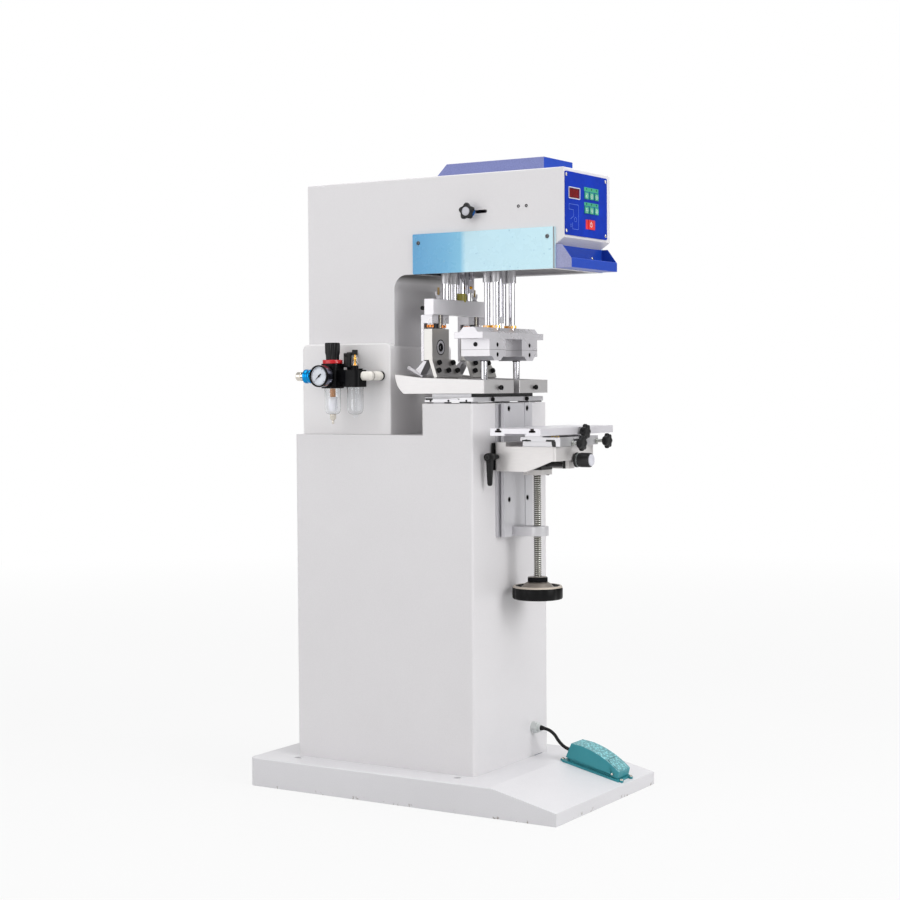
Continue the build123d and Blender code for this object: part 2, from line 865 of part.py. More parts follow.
with BuildPart() as blade_hangers:
    for side in (-1, 1):
        station_x = side * blade_pitch / 2
        for sx in (-1, 1):
            inner = station_x + sx * hanger_leg_inner
            outer = station_x + sx * hanger_leg_outer
            block(
                min(inner, outer),
                max(inner, outer),
                hanger_y - hanger_leg_thick / 2,
                hanger_plate_rear,
                hanger_leg_bottom,
                crossbar_bottom,
            )
            upright(
                station_x + sx * thumb_x, hanger_y, thumb_bottom, hanger_leg_bottom, thumb_radius
            )
        block(
            station_x - hanger_leg_outer,
            station_x + hanger_leg_outer,
            hanger_plate_front,
            hanger_plate_rear,
            hanger_plate_bottom,
            crossbar_bottom,
        )
        along_y(
            station_x, pivot_z, hanger_plate_front, blade_block_front + pivot_recess, pivot_radius
        )
        with BuildSketch(Plane.YZ.offset(station_x - spout_arm_half)):
            with BuildLine():
                Polyline(
                    (hanger_plate_rear, blade_block_bottom + spout_radius),
                    (hanger_plate_rear, hanger_plate_bottom),
                    (spout_foot_y, spout_foot_z + spout_radius),
                    (spout_foot_y + 2 * spout_radius, spout_foot_z + 3 * spout_radius),
                    close=True,
                )
            make_face()
        extrude(amount=2 * spout_arm_half)
        spout_plane = Plane(
            origin=(station_x, spout_foot_y, spout_foot_z),
            x_dir=(1, 0, 0),
            z_dir=(0, spout_top_y - spout_foot_y, spout_top_z - spout_foot_z),
        )
        with BuildSketch(spout_plane):
            Circle(spout_radius)
        extrude(amount=spout_length)
        with BuildSketch(spout_plane.offset(spout_length / 2)):
            Circle(spout_bore)
        extrude(amount=spout_length, mode=Mode.SUBTRACT)
blade_hangers.part.label = "blade_hangers"
export_step(blade_hangers.part, "parts/blade_hangers.step")

with BuildPart() as wing_studs:
    for side in (-1, 1):
        station_x = side * blade_pitch / 2
        upright(station_x, doctor_y, crossbar_top, stud_top, stud_radius)
        block(
            station_x - wing_span / 2,
            station_x + wing_span / 2,
            doctor_y - wing_thick / 2,
            doctor_y + wing_thick / 2,
            crossbar_top,
            crossbar_top + wing_height,
        )
wing_studs.part.label = "wing_studs"
export_step(wing_studs.part, "parts/wing_studs.step")

# Blade blocks: each swivels on its pivot and carries the tilted blade clamp
clamp_tilt = 18.5
clamp_half = 45.5
clamp_top_y = -27.0
clamp_top_drop = 1.0
clamp_top_z = blade_block_bottom - clamp_top_drop
clamp_length = 36.5
clamp_thick = 6.0
clamp_cut = 14.5
clamp_cut_height = 22.5
blade_thick = 1.0
blade_reach = 15.6
blade_inset = 3.5
carrier_thick = 9.0
carrier_rise = 6.0
for side, name in ((-1, "blade_block_left"), (1, "blade_block_right")):
    station_x = side * blade_pitch / 2
    clamp_plane = Plane(
        origin=(station_x, clamp_top_y, clamp_top_z),
        x_dir=(1, 0, 0),
        z_dir=(0, -cos(radians(clamp_tilt)), sin(radians(clamp_tilt))),
    )
    with BuildPart() as blade_block:
        block(
            station_x - blade_block_half,
            station_x + blade_block_half,
            blade_block_front,
            blade_block_rear,
            blade_block_bottom,
            blade_block_top,
        )
        along_y(
            station_x, pivot_z, blade_block_rear + overrun, blade_block_front - overrun,
            pivot_radius + fit_gap, Mode.SUBTRACT,
        )
        along_y(
            station_x, pivot_z, blade_block_front + pivot_recess, blade_block_front - overrun,
            pivot_ring_radius, Mode.SUBTRACT,
        )
        with BuildSketch(clamp_plane):
            with BuildLine():
                Polyline(
                    (-clamp_half, 0),
                    (clamp_half - clamp_cut, 0),
                    (clamp_half, -clamp_cut_height),
                    (clamp_half, -clamp_length),
                    (-clamp_half, -clamp_length),
                    close=True,
                )
            make_face()
        extrude(amount=clamp_thick)
        with BuildSketch(clamp_plane.offset(-blade_thick)):
            with Locations((0, -(clamp_length + blade_reach) / 2)):
                Rectangle(2 * (clamp_half - blade_inset), clamp_length + blade_reach)
        extrude(amount=blade_thick)
        with BuildSketch(clamp_plane.offset(-blade_thick - carrier_thick)):
            with Locations((0, carrier_rise)):
                Rectangle(
                    2 * blade_block_half, carrier_rise + clamp_length - blade_inset,
                    align=(Align.CENTER, Align.MAX),
                )
        extrude(amount=carrier_thick)
    blade_block.part.label = name
    export_step(blade_block.part, f"parts/{name}.step")

# Ink trays: cast boats, open on top, each with its etched plate
tray_pitch = 137.0
tray_width = 115.0
tray_wall = 4.5
tray_front_wall = 6.5
tray_floor = 4.0
tray_stand = 18.9
tray_bottom = deck_height + tray_stand
tray_front = -155.5
tray_rear = 45.7
tray_front_height = 25.9
tray_front_top = tray_bottom + tray_front_height
tray_middle_y = -14.0
tray_middle_height = 31.1
tray_middle_top = tray_bottom + tray_middle_height
tray_rear_height = 38.0
tray_rear_top = tray_bottom + tray_rear_height
tray_keel_rear = 25.8
tray_bulge = 9.0
plate_front_gap = 3.0
plate_depth = 138.0
plate_thick = 9.5
plate_side_gap = 1.5
tray_inner_floor = tray_bottom + tray_floor
etched_top = tray_inner_floor + plate_thick
keel_share = 0.45


def tray_outline(inset, front_inset, floor_z, rim_extra):
    """The boat-shaped side outline of a tray, drawn in from its outside."""
    rear_y = tray_rear - inset
    keel_y = tray_keel_rear - inset
    bulge_y = keel_y + (rear_y - keel_y) * (1 - keel_share) + tray_bulge * keel_share
    bulge_z = floor_z + (tray_rear_top - floor_z) * keel_share
    with BuildLine() as outline:
        Polyline(
            (rear_y, tray_rear_top + rim_extra),
            (tray_middle_y, tray_middle_top + rim_extra),
            (tray_front + front_inset, tray_front_top + rim_extra),
            (tray_front + front_inset, floor_z),
            (keel_y, floor_z),
        )
        ThreePointArc(
            (keel_y, floor_z), (bulge_y, bulge_z), (rear_y, tray_rear_top + rim_extra)
        )
    make_face(outline.edges())


for side, name in ((-1, "ink_tray_left"), (1, "ink_tray_right")):
    station_x = side * tray_pitch / 2
    with BuildPart() as ink_tray:
        with BuildSketch(Plane.YZ.offset(station_x - tray_width / 2)):
            tray_outline(0, 0, tray_bottom, 0)
        extrude(amount=tray_width)
        with BuildSketch(Plane.YZ.offset(station_x - tray_width / 2 + tray_wall)):
            tray_outline(tray_wall, tray_front_wall, tray_inner_floor, overrun)
        extrude(amount=tray_width - 2 * tray_wall, mode=Mode.SUBTRACT)
        with BuildSketch(Plane.YZ.offset(station_x - tray_width / 2 + tray_wall)):
            with Locations(((tray_front + tray_rear) / 2, tray_rear_top + tray_wall)):
                Rectangle(tray_rear - tray_front - 2 * tray_front_wall, 2 * tray_wall)
        extrude(amount=tray_width - 2 * tray_wall, mode=Mode.SUBTRACT)
    ink_tray.part.label = name
    export_step(ink_tray.part, f"parts/{name}.step")

plate_front = tray_front + tray_front_wall + plate_front_gap
with BuildPart() as etched_plates:
    for side in (-1, 1):
        station_x = side * tray_pitch / 2
        plate_half = tray_width / 2 - tray_wall - plate_side_gap
        block(
            station_x - plate_half,
            station_x + plate_half,
            plate_front,
            plate_front + plate_depth,
            tray_inner_floor,
            etched_top,
        )
etched_plates.part.label = "etched_plates"
export_step(etched_plates.part, "parts/etched_plates.step")

# Tray bracket: two stacked plates and rubber pads between the deck and the trays
bracket_half = 138.0
bracket_front = -138.5
bracket_rear = -30.0
bracket_stand = 3.0
bracket_bottom = deck_height + bracket_stand
bracket_thick = 9.2
bracket_slot_front = -108.0
bracket_slot_height = 4.0
carrier_half = 120.0
carrier_front = -124.5
carrier_rear = -36.0
pad_size = 26.0
pad_inset = 12.0
bracket_top = bracket_bottom + bracket_thick
with BuildPart() as tray_bracket:
    block(-bracket_half, bracket_half, bracket_front, bracket_rear, bracket_bottom, bracket_top)
    pocket(
        -bracket_half - overrun,
        bracket_half + overrun,
        bracket_slot_front,
        bracket_rear + overrun,
        bracket_top - bracket_slot_height,
        bracket_top - bracket_slot_height / 2,
    )
    for sx in (-1, 1):
        for y in (bracket_front + pad_inset, bracket_rear - pad_inset - pad_size):
            pad_x = sx * (bracket_half - pad_inset - pad_size / 2)
            block(
                pad_x - pad_size / 2,
                pad_x + pad_size / 2,
                y,
                y + pad_size,
                deck_height,
                bracket_bottom,
            )
tray_bracket.part.label = "tray_bracket"
export_step(tray_bracket.part, "parts/tray_bracket.step")

with BuildPart() as tray_carrier:
    block(-carrier_half, carrier_half, carrier_front, carrier_rear, bracket_top, tray_bottom)
tray_carrier.part.label = "tray_carrier"
export_step(tray_carrier.part, "parts/tray_carrier.step")

# Dovetail rail on the column's front
rail_top_drop = 0.6
rail_top = deck_height - rail_top_drop
rail_length = 258.0
rail_bottom = rail_top - rail_length
rail_thick = 17.5
rail_head_half = 56.0
rail_neck_half = 48.0
rail_flange_half = 60.0
rail_flange_thick = 5.0
rail_head_thick = 6.5
rail_relief_half = 28.0
rail_relief = 1.6
rail_bolt_x = 36.0
rail_bolt_low_rise = 72.0
rail_bolt_low = rail_bottom + rail_bolt_low_rise
rail_bolt_high_drop = 10.2
rail_bolt_high = rail_top - rail_bolt_high_drop
bolt_head_radius = 5.2
bolt_recess = 6.0
rail_front = column_front - rail_thick
with BuildPart() as slide_rail:
    with BuildSketch(Plane.XY.offset(rail_bottom)):
        with BuildLine():
            Polyline(
                (-rail_flange_half, column_front),
                (-rail_flange_half, column_front - rail_flange_thick),
                (-rail_neck_half, column_front - rail_flange_thick),
                (-rail_head_half, rail_front + rail_head_thick),
                (-rail_head_half, rail_front),
                (-rail_relief_half, rail_front),
                (-rail_relief_half, rail_front + rail_relief),
                (rail_relief_half, rail_front + rail_relief),
                (rail_relief_half, rail_front),
                (rail_head_half, rail_front),
                (rail_head_half, rail_front + rail_head_thick),
                (rail_neck_half, column_front - rail_flange_thick),
                (rail_flange_half, column_front - rail_flange_thick),
                (rail_flange_half, column_front),
                close=True,
            )
        make_face()
    extrude(amount=rail_top - rail_bottom)
    for sx in (-1, 1):
        for z in (rail_bolt_low, rail_bolt_high):
            along_y(
                sx * rail_bolt_x, z, rail_front + bolt_recess, rail_front - overrun,
                bolt_head_radius + slip_gap, Mode.SUBTRACT,
            )
slide_rail.part.label = "slide_rail"
export_step(slide_rail.part, "parts/slide_rail.step")

# Lifting screw line
screw_y = -200.0
screw_radius = 8.0
nut_stand = 1.0
nut_bottom = rail_bottom + nut_stand
nut_height = 18.0
nut_half = 22.0
with BuildPart() as nut_bracket:
    with BuildSketch(Plane.XY.offset(nut_bottom)):
        with Locations((0, screw_y)):
            Circle(nut_half)
        with Locations((0, (rail_front + screw_y) / 2)):
            Rectangle(2 * nut_half, rail_front - screw_y)
        with Locations((0, rail_front + rail_relief / 2)):
            Rectangle(2 * nut_half, rail_relief)
    extrude(amount=nut_height)
    upright(
        0, screw_y, nut_bottom - overrun, nut_bottom + nut_height + overrun,
        screw_radius + fit_gap, Mode.SUBTRACT,
    )
nut_bracket.part.label = "nut_bracket"
export_step(nut_bracket.part, "parts/nut_bracket.step")

# Knee: a casting that rides on the rail, ribbed and open below
knee_half = 80.0
knee_saddle_rear = -146.6
knee_saddle_front = -176.0
knee_saddle_drop = 74.0
knee_saddle_top = rail_top - knee_saddle_drop
knee_saddle_height = 55.5
knee_bottom = knee_saddle_top - knee_saddle_height
knee_height = 47.5
knee_top = knee_bottom + knee_height
knee_front = -282.5
knee_front_rise = 20.5
knee_front_bottom = knee_bottom + knee_front_rise
knee_slope_rear = -220.6
knee_slope_front = -272.6
knee_wall = 9.0
knee_corner_radius = 16.0
knee_front_radius = 5.0
gib_gap = 0.3
feed_rise = 20.9
feed_z = knee_bottom + feed_rise
feed_radius = 4.0
feed_block_half = 11.0
feed_block_rear = -262.0
feed_block_front = -276.0
feed_block_stand = 4.5
feed_block_bottom = knee_bottom + feed_block_stand
retainer_half = 21.5
retainer_rear = -182.0
retainer_front = -221.0
retainer_thick = 9.0
retainer_bottom = knee_bottom - retainer_thick
screw_head_rise = 25.5
screw_head_top = knee_bottom + screw_head_rise
screw_head_radius = 12.0
screw_head_stand = 4.5
screw_head_bottom = knee_bottom + screw_head_stand
knee_points = [
    (knee_saddle_front, knee_bottom),
    (knee_slope_rear, knee_bottom),
    (knee_slope_front, knee_front_bottom),
    (knee_front, knee_front_bottom),
    (knee_front, knee_top),
    (knee_saddle_front, knee_top),
]
with BuildPart() as knee:
    add(side_profile(knee_points, knee_half))
    front_corners = knee.edges().filter_by(Axis.Z).group_by(Axis.Y)[0]
    fillet(front_corners, knee_front_radius)
    pocket(
        -knee_half + knee_wall,
        knee_half - knee_wall,
        knee_front + knee_wall,
        knee_saddle_front - knee_wall,
        knee_bottom - overrun,
        knee_top - knee_wall,
    )
    block(
        -knee_half, knee_half, knee_saddle_front, knee_saddle_rear, knee_bottom, knee_saddle_top
    )
    rear_corners = knee.edges().filter_by(Axis.Z).group_by(Axis.Y)[-1]
    fillet(rear_corners, knee_corner_radius)
    with BuildSketch(Plane.XY.offset(knee_bottom - overrun)):
        with BuildLine():
            Polyline(
                (-rail_neck_half - gib_gap, column_front),
                (-rail_neck_half - gib_gap, column_front - rail_flange_thick),
                (-rail_head_half - gib_gap, rail_front + rail_head_thick + gib_gap),
                (-rail_head_half - gib_gap, rail_front - gib_gap),
                (rail_head_half + gib_gap, rail_front - gib_gap),
                (rail_head_half + gib_gap, rail_front + rail_head_thick + gib_gap),
                (rail_neck_half + gib_gap, column_front - rail_flange_thick),
                (rail_neck_half + gib_gap, column_front),
                close=True,
            )
        make_face()
    extrude(amount=knee_saddle_top - knee_bottom + 2 * overrun, mode=Mode.SUBTRACT)
    boss_depth = retainer_rear - retainer_front
    block(
        -retainer_half,
        retainer_half,
        retainer_front,
        retainer_rear,
        knee_bottom,
        knee_top - knee_wall,
    )
    block(
        -retainer_half,
        retainer_half,
        retainer_rear,
        knee_saddle_front,
        knee_bottom,
        knee_top - knee_wall,
    )
    block(
        -feed_block_half,
        feed_block_half,
        feed_block_front,
        feed_block_rear,
        feed_block_bottom,
        knee_top - knee_wall,
    )
    upright(
        0, screw_y, knee_bottom - overrun, screw_head_top + slip_gap,
        screw_head_radius + slip_gap, Mode.SUBTRACT,
    )
    along_y(
        0, feed_z, feed_block_rear + overrun, knee_front - overrun,
        feed_radius + slip_gap, Mode.SUBTRACT,
    )
    pocket(
        -feed_radius - slip_gap,
        feed_radius + slip_gap,
        knee_front - overrun,
        feed_block_front,
        knee_front_bottom - overrun,
        feed_z,
    )
    block(
        -retainer_half,
        retainer_half,
        retainer_front,
        retainer_rear,
        retainer_bottom,
        knee_bottom,
    )
    upright(
        0, screw_y, retainer_bottom - overrun, knee_bottom + overrun,
        screw_radius + fit_gap, Mode.SUBTRACT,
    )
knee.part.label = "knee"
export_step(knee.part, "parts/knee.step")

# Lifting screw: held by its head in the knee, threaded through the nut bracket
wheel_hub_drop = 80.0
wheel_hub_top = nut_bottom - wheel_hub_drop
with BuildPart() as lifting_screw:
    upright(0, screw_y, wheel_hub_top, screw_head_top, screw_radius)
    upright(0, screw_y, screw_head_bottom, screw_head_top, screw_head_radius)
lifting_screw.part.label = "lifting_screw"
export_step(lifting_screw.part, "parts/lifting_screw.step")

# Handwheel: a hub, a flared web and a deep rim
wheel_radius = 49.5
wheel_rim = 6.0
wheel_depth = 43.5
wheel_bottom = wheel_hub_top - wheel_depth
wheel_rim_height = 26.0
wheel_top = wheel_bottom + wheel_rim_height
wheel_hub_radius = 19.5
wheel_hub_collar = 9.0
wheel_hub_neck = wheel_hub_top - wheel_hub_collar
wheel_web_thick = 5.0
wheel_lobe_radius = 9.0
wheel_lobe_count = 12
wheel_lobe_depth = 1.6
wheel_points = [
    (0, wheel_hub_top),
    (wheel_hub_radius, wheel_hub_top),
    (wheel_hub_radius, wheel_hub_neck),
    (wheel_radius - 2 * wheel_rim, wheel_top - wheel_web_thick / 2),
    (wheel_radius - wheel_rim, wheel_top - wheel_web_thick / 2),
    (wheel_radius - wheel_rim / 2, wheel_top),
    (wheel_radius, wheel_top - wheel_web_thick / 2),
    (wheel_radius, wheel_bottom),
    (wheel_radius - wheel_rim, wheel_bottom),
    (wheel_radius - wheel_rim, wheel_top - 2 * wheel_web_thick),
    (wheel_hub_radius, wheel_hub_neck - 2 * wheel_web_thick),
    (wheel_hub_radius, wheel_bottom + wheel_web_thick),
    (0, wheel_bottom + wheel_web_thick),
]
with BuildPart() as handwheel:
    with BuildSketch(Plane(origin=(0, screw_y, 0), x_dir=(1, 0, 0), z_dir=(0, -1, 0))):
        with BuildLine():
            Polyline(*wheel_points, close=True)
        make_face()
    revolve(axis=Axis((0, screw_y, 0), (0, 0, 1)))
    with BuildSketch(Plane.XY.offset(wheel_bottom - overrun)):
        with Locations((0, screw_y)):
            with PolarLocations(wheel_radius + wheel_lobe_radius - wheel_lobe_depth, wheel_lobe_count):
                Circle(wheel_lobe_radius)
    extrude(amount=wheel_top - wheel_bottom + 2 * overrun, mode=Mode.SUBTRACT)
handwheel.part.label = "handwheel"
export_step(handwheel.part, "parts/handwheel.step")

# Clamp lever on the left of the knee
lever_y = -157.0
lever_rise = 28.0
lever_z = knee_bottom + lever_rise
lever_hub_radius = 8.0
lever_boss_radius = 5.5
lever_boss_length = 18.0
lever_hub_length = 20.0
lever_arm_length = 54.0
lever_arm_top = 6.2
lever_arm_end = 4.6
lever_x = -knee_half - slip_gap
with BuildPart() as clamp_lever:
    along_x(lever_y, lever_z, lever_x - lever_boss_length, lever_x, lever_boss_radius)
    along_x(
        lever_y,
        lever_z,
        lever_x - lever_boss_length - lever_hub_length,
        lever_x - lever_boss_length,
        lever_hub_radius,
    )
    lever_arm_x = lever_x - lever_boss_length - lever_hub_length / 2
    lever_root = Plane.XY.offset(lever_z)
    lever_tip = Plane.XY.offset(lever_z - lever_arm_length)
    with BuildSketch(lever_root):
        with Locations((lever_arm_x, lever_y)):
            Circle(lever_arm_top)
    with BuildSketch(lever_tip):
        with Locations((lever_arm_x, lever_y)):
            Circle(lever_arm_end)
    loft()
    fillet(clamp_lever.faces().sort_by(Axis.Z)[0].edges(), lever_arm_end / 2)
clamp_lever.part.label = "clamp_lever"
export_step(clamp_lever.part, "parts/clamp_lever.step")

# Table slides: a fixed guide on the knee, the cross slide on it, and the worktable
guide_half = 70.0
guide_front = -274.0
guide_rear = -207.0
guide_height = 10.0
guide_top = knee_top + guide_height
guide_key_half = 22.0
guide_key_height = 4.0
guide_key_flare = 4.0
slide_half = 78.0
slide_front = -292.5
slide_rear = -207.0
slide_height = 8.5
slide_top = guide_top + slide_height
slide_groove = 5.0
slide_groove_height = 3.0
slide_groove_inset = 12.0
slide_skirt = 9.0
table_half = 149.5
table_front = -289.5
table_rear = -182.0
table_stand = 4.0
table_bottom = slide_top + table_stand
table_thick = 14.0
table_top = table_bottom + table_thick
table_key_half = 19.0
table_key_flare = 3.5
t_slot_front = -272.0
t_slot_rear = -199.5
t_slot_neck = 7.0
t_slot_wide = 13.5
t_slot_depth = 7.5
t_slot_floor = 3.5
slide_key_base = 1.5
table_y = (table_front + table_rear) / 2
table_key_bottom = slide_top + slide_key_base
with BuildPart() as slide_guide:
    block(-guide_half, guide_half, guide_front, guide_rear, knee_top, guide_top)
    with BuildSketch(Plane.XZ.offset(-guide_rear)):
        with BuildLine():
            Polyline(
                (-guide_key_half, guide_top),
                (guide_key_half, guide_top),
                (guide_key_half + guide_key_flare, guide_top + guide_key_height),
                (-guide_key_half - guide_key_flare, guide_top + guide_key_height),
                close=True,
            )
        make_face()
    extrude(amount=guide_rear - guide_front)
slide_guide.part.label = "slide_guide"
export_step(slide_guide.part, "parts/slide_guide.step")

with BuildPart() as cross_slide:
    block(
        -slide_half, slide_half, slide_front, slide_rear, guide_top + slip_gap, slide_top
    )
    block(
        -slide_half,
        slide_half,
        slide_front,
        guide_front - slide_skirt,
        guide_top - slide_skirt,
        guide_top + slip_gap,
    )
    with BuildSketch(Plane.XZ.offset(-slide_rear - overrun)):
        with BuildLine():
            Polyline(
                (-guide_key_half - slip_gap, guide_top),
                (guide_key_half + slip_gap, guide_top),
                (guide_key_half + guide_key_flare + slip_gap, guide_top + guide_key_height + slip_gap),
                (-guide_key_half - guide_key_flare - slip_gap, guide_top + guide_key_height + slip_gap),
                close=True,
            )
        make_face()
    extrude(amount=slide_rear - slide_front + 2 * overrun, mode=Mode.SUBTRACT)
    for y in (slide_rear - slide_groove_inset, slide_front + 2 * slide_groove_inset):
        pocket(
            -slide_half - overrun,
            -guide_half + slide_groove_inset,
            y - slide_groove,
            y + slide_groove,
            guide_top - overrun,
            guide_top + slide_groove_height,
        )
    with BuildSketch(Plane.YZ.offset(-slide_half)):
        with BuildLine():
            Polyline(
                (table_y - table_key_half, slide_top),
                (table_y + table_key_half, slide_top),
                (table_y + table_key_half, table_key_bottom),
                (table_y + table_key_half + table_key_flare, table_bottom + table_key_flare),
                (table_y - table_key_half - table_key_flare, table_bottom + table_key_flare),
                (table_y - table_key_half, table_key_bottom),
                close=True,
            )
        make_face()
    extrude(amount=2 * slide_half)
cross_slide.part.label = "cross_slide"
export_step(cross_slide.part, "parts/cross_slide.step")

with BuildPart() as worktable:
    block(-table_half, table_half, table_front, table_rear, table_bottom, table_top)
    with BuildSketch(Plane.YZ.offset(-table_half - overrun)):
        with BuildLine():
            Polyline(
                (table_y - table_key_half - slip_gap, table_bottom - overrun),
                (table_y + table_key_half + slip_gap, table_bottom - overrun),
                (
                    table_y + table_key_half + table_key_flare + 2 * slip_gap,
                    table_bottom + table_key_flare + slip_gap,
                ),
                (
                    table_y - table_key_half - table_key_flare - 2 * slip_gap,
                    table_bottom + table_key_flare + slip_gap,
                ),
                close=True,
            )
        make_face()
    extrude(amount=2 * (table_half + overrun), mode=Mode.SUBTRACT)
    for y in (t_slot_front, t_slot_rear):
        pocket(
            -table_half - overrun,
            table_half + overrun,
            y - t_slot_neck / 2,
            y + t_slot_neck / 2,
            table_top - t_slot_depth,
            table_top + overrun,
        )
        pocket(
            -table_half - overrun,
            table_half + overrun,
            y - t_slot_wide / 2,
            y + t_slot_wide / 2,
            table_top - t_slot_depth,
            table_top - t_slot_depth + t_slot_floor,
        )
worktable.part.label = "worktable"
export_step(worktable.part, "parts/worktable.step")

# Star knobs: lobed heads on a tapered hub and a stem, all with their axis along Y
star_radius = 15.0
star_lobes = 5
star_lobe_radius = 5.2
star_thick = 9.0
star_hub_radius = 6.0
star_hub_end = 4.5
star_valley_radius = 10.5
star_edge = 1.6
stem_radius = 3.0


def star_knob(x, z, back_y, stem, hub):
    """A lobed knob whose stem starts at back_y and runs forward."""
    hub_back = back_y - stem
    head_back = hub_back - hub
    with BuildPart() as knob:
        along_y(x, z, back_y, hub_back, stem_radius)
        with BuildSketch(Plane.XZ.offset(-hub_back)):
            with Locations((x, z)):
                Circle(star_hub_end)
        with BuildSketch(Plane.XZ.offset(-head_back)):
            with Locations((x, z)):
                Circle(star_hub_radius)
        loft()
        with BuildSketch(Plane.XZ.offset(-head_back)):
            with Locations((x, z)):
                Circle(star_valley_radius)
                with PolarLocations(star_radius - star_lobe_radius, star_lobes):
                    Circle(star_lobe_radius)
        extrude(amount=star_thick)
        fillet(knob.faces().sort_by(Axis.Y)[0].edges(), star_edge)
    return knob


table_knob_x = 11.6
table_knob_rise = 5.0
table_knob_z = table_bottom + table_knob_rise
table_knob_stem = 2.0
table_knob_hub = 4.0
slide_knob_x = -28.8
slide_knob_drop = 3.6
slide_knob_z = guide_top - slide_knob_drop
slide_knob_stem = 3.0
slide_knob_hub = 13.0
gib_knob_x = 70.0
gib_knob_drop = 1.6
gib_knob_z = guide_top - gib_knob_drop
gib_knob_stem = 8.0
gib_knob_hub = 12.0
table_lock_knob = star_knob(
    table_knob_x, table_knob_z, table_front - slip_gap, table_knob_stem, table_knob_hub
)
table_lock_knob.part.label = "table_lock_knob"
export_step(table_lock_knob.part, "parts/table_lock_knob.step")

slide_lock_knob = star_knob(
    slide_knob_x, slide_knob_z, slide_front - slip_gap, slide_knob_stem, slide_knob_hub
)
slide_lock_knob.part.label = "slide_lock_knob"
export_step(slide_lock_knob.part, "parts/slide_lock_knob.step")

gib_lock_knob = star_knob(
    gib_knob_x, gib_knob_z, slide_front - slip_gap, gib_knob_stem, gib_knob_hub
)
gib_lock_knob.part.label = "gib_lock_knob"
export_step(gib_lock_knob.part, "parts/gib_lock_knob.step")

# Graduated feed dial under the knee's front, with its screw and bearing block
dial_radius = 14.2
dial_length = 33.0
dial_bevel = 1.5
dial_cap_radius = 11.5
dial_cap_thick = 2.0
dial_gap = 2.0
feed_screw_rear = -236.0
with BuildPart() as feed_dial:
    along_y(0, feed_z, feed_screw_rear, knee_front - dial_gap, feed_radius)
    along_y(
        0, feed_z, knee_front - dial_gap, knee_front - dial_gap - dial_length, dial_radius
    )
    chamfer(feed_dial.faces().sort_by(Axis.Y)[0].edges(), dial_bevel)
    along_y(
        0,
        feed_z,
        knee_front - dial_gap - dial_length,
        knee_front - dial_gap - dial_length - dial_cap_thick,
        dial_cap_radius,
    )
feed_dial.part.label = "feed_dial"
export_step(feed_dial.part, "parts/feed_dial.step")

# Stroke stop on the left cheek: a stud in the slot with its washer, and a star knob
stop_washer_radius = 8.0
stop_washer_thick = 3.0
stop_knob_hub = 10.0
stop_stud_inside = 10.0
stop_nut_radius = 7.0
stop_nut_thick = 3.0
stop_knob_radius = 16.5
stop_knob_thick = 10.0
stop_knob_lobe = 5.6
stop_knob_valley = 11.0
cheek_x = -housing_half
with BuildPart() as stop_stud:
    along_x(stop_y, stop_z_axis, cheek_x - stop_washer_thick, cheek_x, stop_washer_radius)
    along_x(
        stop_y, stop_z_axis, cheek_x - stop_washer_thick, cheek_x + stop_stud_inside,
        stop_stud_radius,
    )
    along_x(
        stop_y,
        stop_z_axis,
        cheek_x + sheet + slip_gap,
        cheek_x + sheet + slip_gap + stop_nut_thick,
        stop_nut_radius,
    )
stop_stud.part.label = "stop_stud"
export_step(stop_stud.part, "parts/stop_stud.step")

stop_knob_back = cheek_x - stop_washer_thick - slip_gap
with BuildPart() as stop_knob:
    along_x(
        stop_y, stop_z_axis, stop_knob_back - stop_knob_hub, stop_knob_back, star_hub_radius
    )
    with BuildSketch(Plane.YZ.offset(stop_knob_back - stop_knob_hub - stop_knob_thick)):
        with Locations((stop_y, stop_z_axis)):
            Circle(stop_knob_valley)
            with PolarLocations(stop_knob_radius - stop_knob_lobe, star_lobes):
                Circle(stop_knob_lobe)
    extrude(amount=stop_knob_thick)
    fillet(stop_knob.faces().sort_by(Axis.X)[0].edges(), star_edge)
stop_knob.part.label = "stop_knob"
export_step(stop_knob.part, "parts/stop_knob.step")

# Air unit on the casing's left face: regulator with filter, and lubricator
port_rise = 115.5
port_z = shoulder_height + port_rise
regulator_y = 173.0
lubricator_y = 119.5
unit_x = -155.0
unit_body_half = 18.5
regulator_rise = 24.4
regulator_top = port_z + regulator_rise
regulator_drop = 23.7
regulator_bottom = port_z - regulator_drop
lubricator_rise = 11.7
lubricator_top = port_z + lubricator_rise
lubricator_drop = 21.4
lubricator_bottom = port_z - lubricator_drop
neck_shoulder = 12.0
bracket_plate = 4.0
bracket_height = 30.0
bracket_width = 34.0
lub_neck_radius = 7.0
lub_neck_height = 8.7
lub_neck_top = lubricator_top + lub_neck_height
ring_radius = 18.9
ring_height = 7.3
knob_radius = 15.0
knob_rise = 41.4
knob_top = regulator_top + knob_rise
knob_lobe_count = 6
knob_flute = 3.0
bowl_radius = 16.6
bowl_drop = 75.2
bowl_bottom = port_z - bowl_drop
bowl_wall = 2.0
bowl_round = 8.0
drain_radius = 6.0
drain_length = 18.8
drain_bottom = bowl_bottom - drain_length
lub_bowl_radius = 17.4
sight_radius = 6.5
sight_height = 20.9
sight_top = lub_neck_top + sight_height
sight_wall = 1.2
cap_radius = 5.7
cap_rise = 9.8
cap_top = sight_top + cap_rise
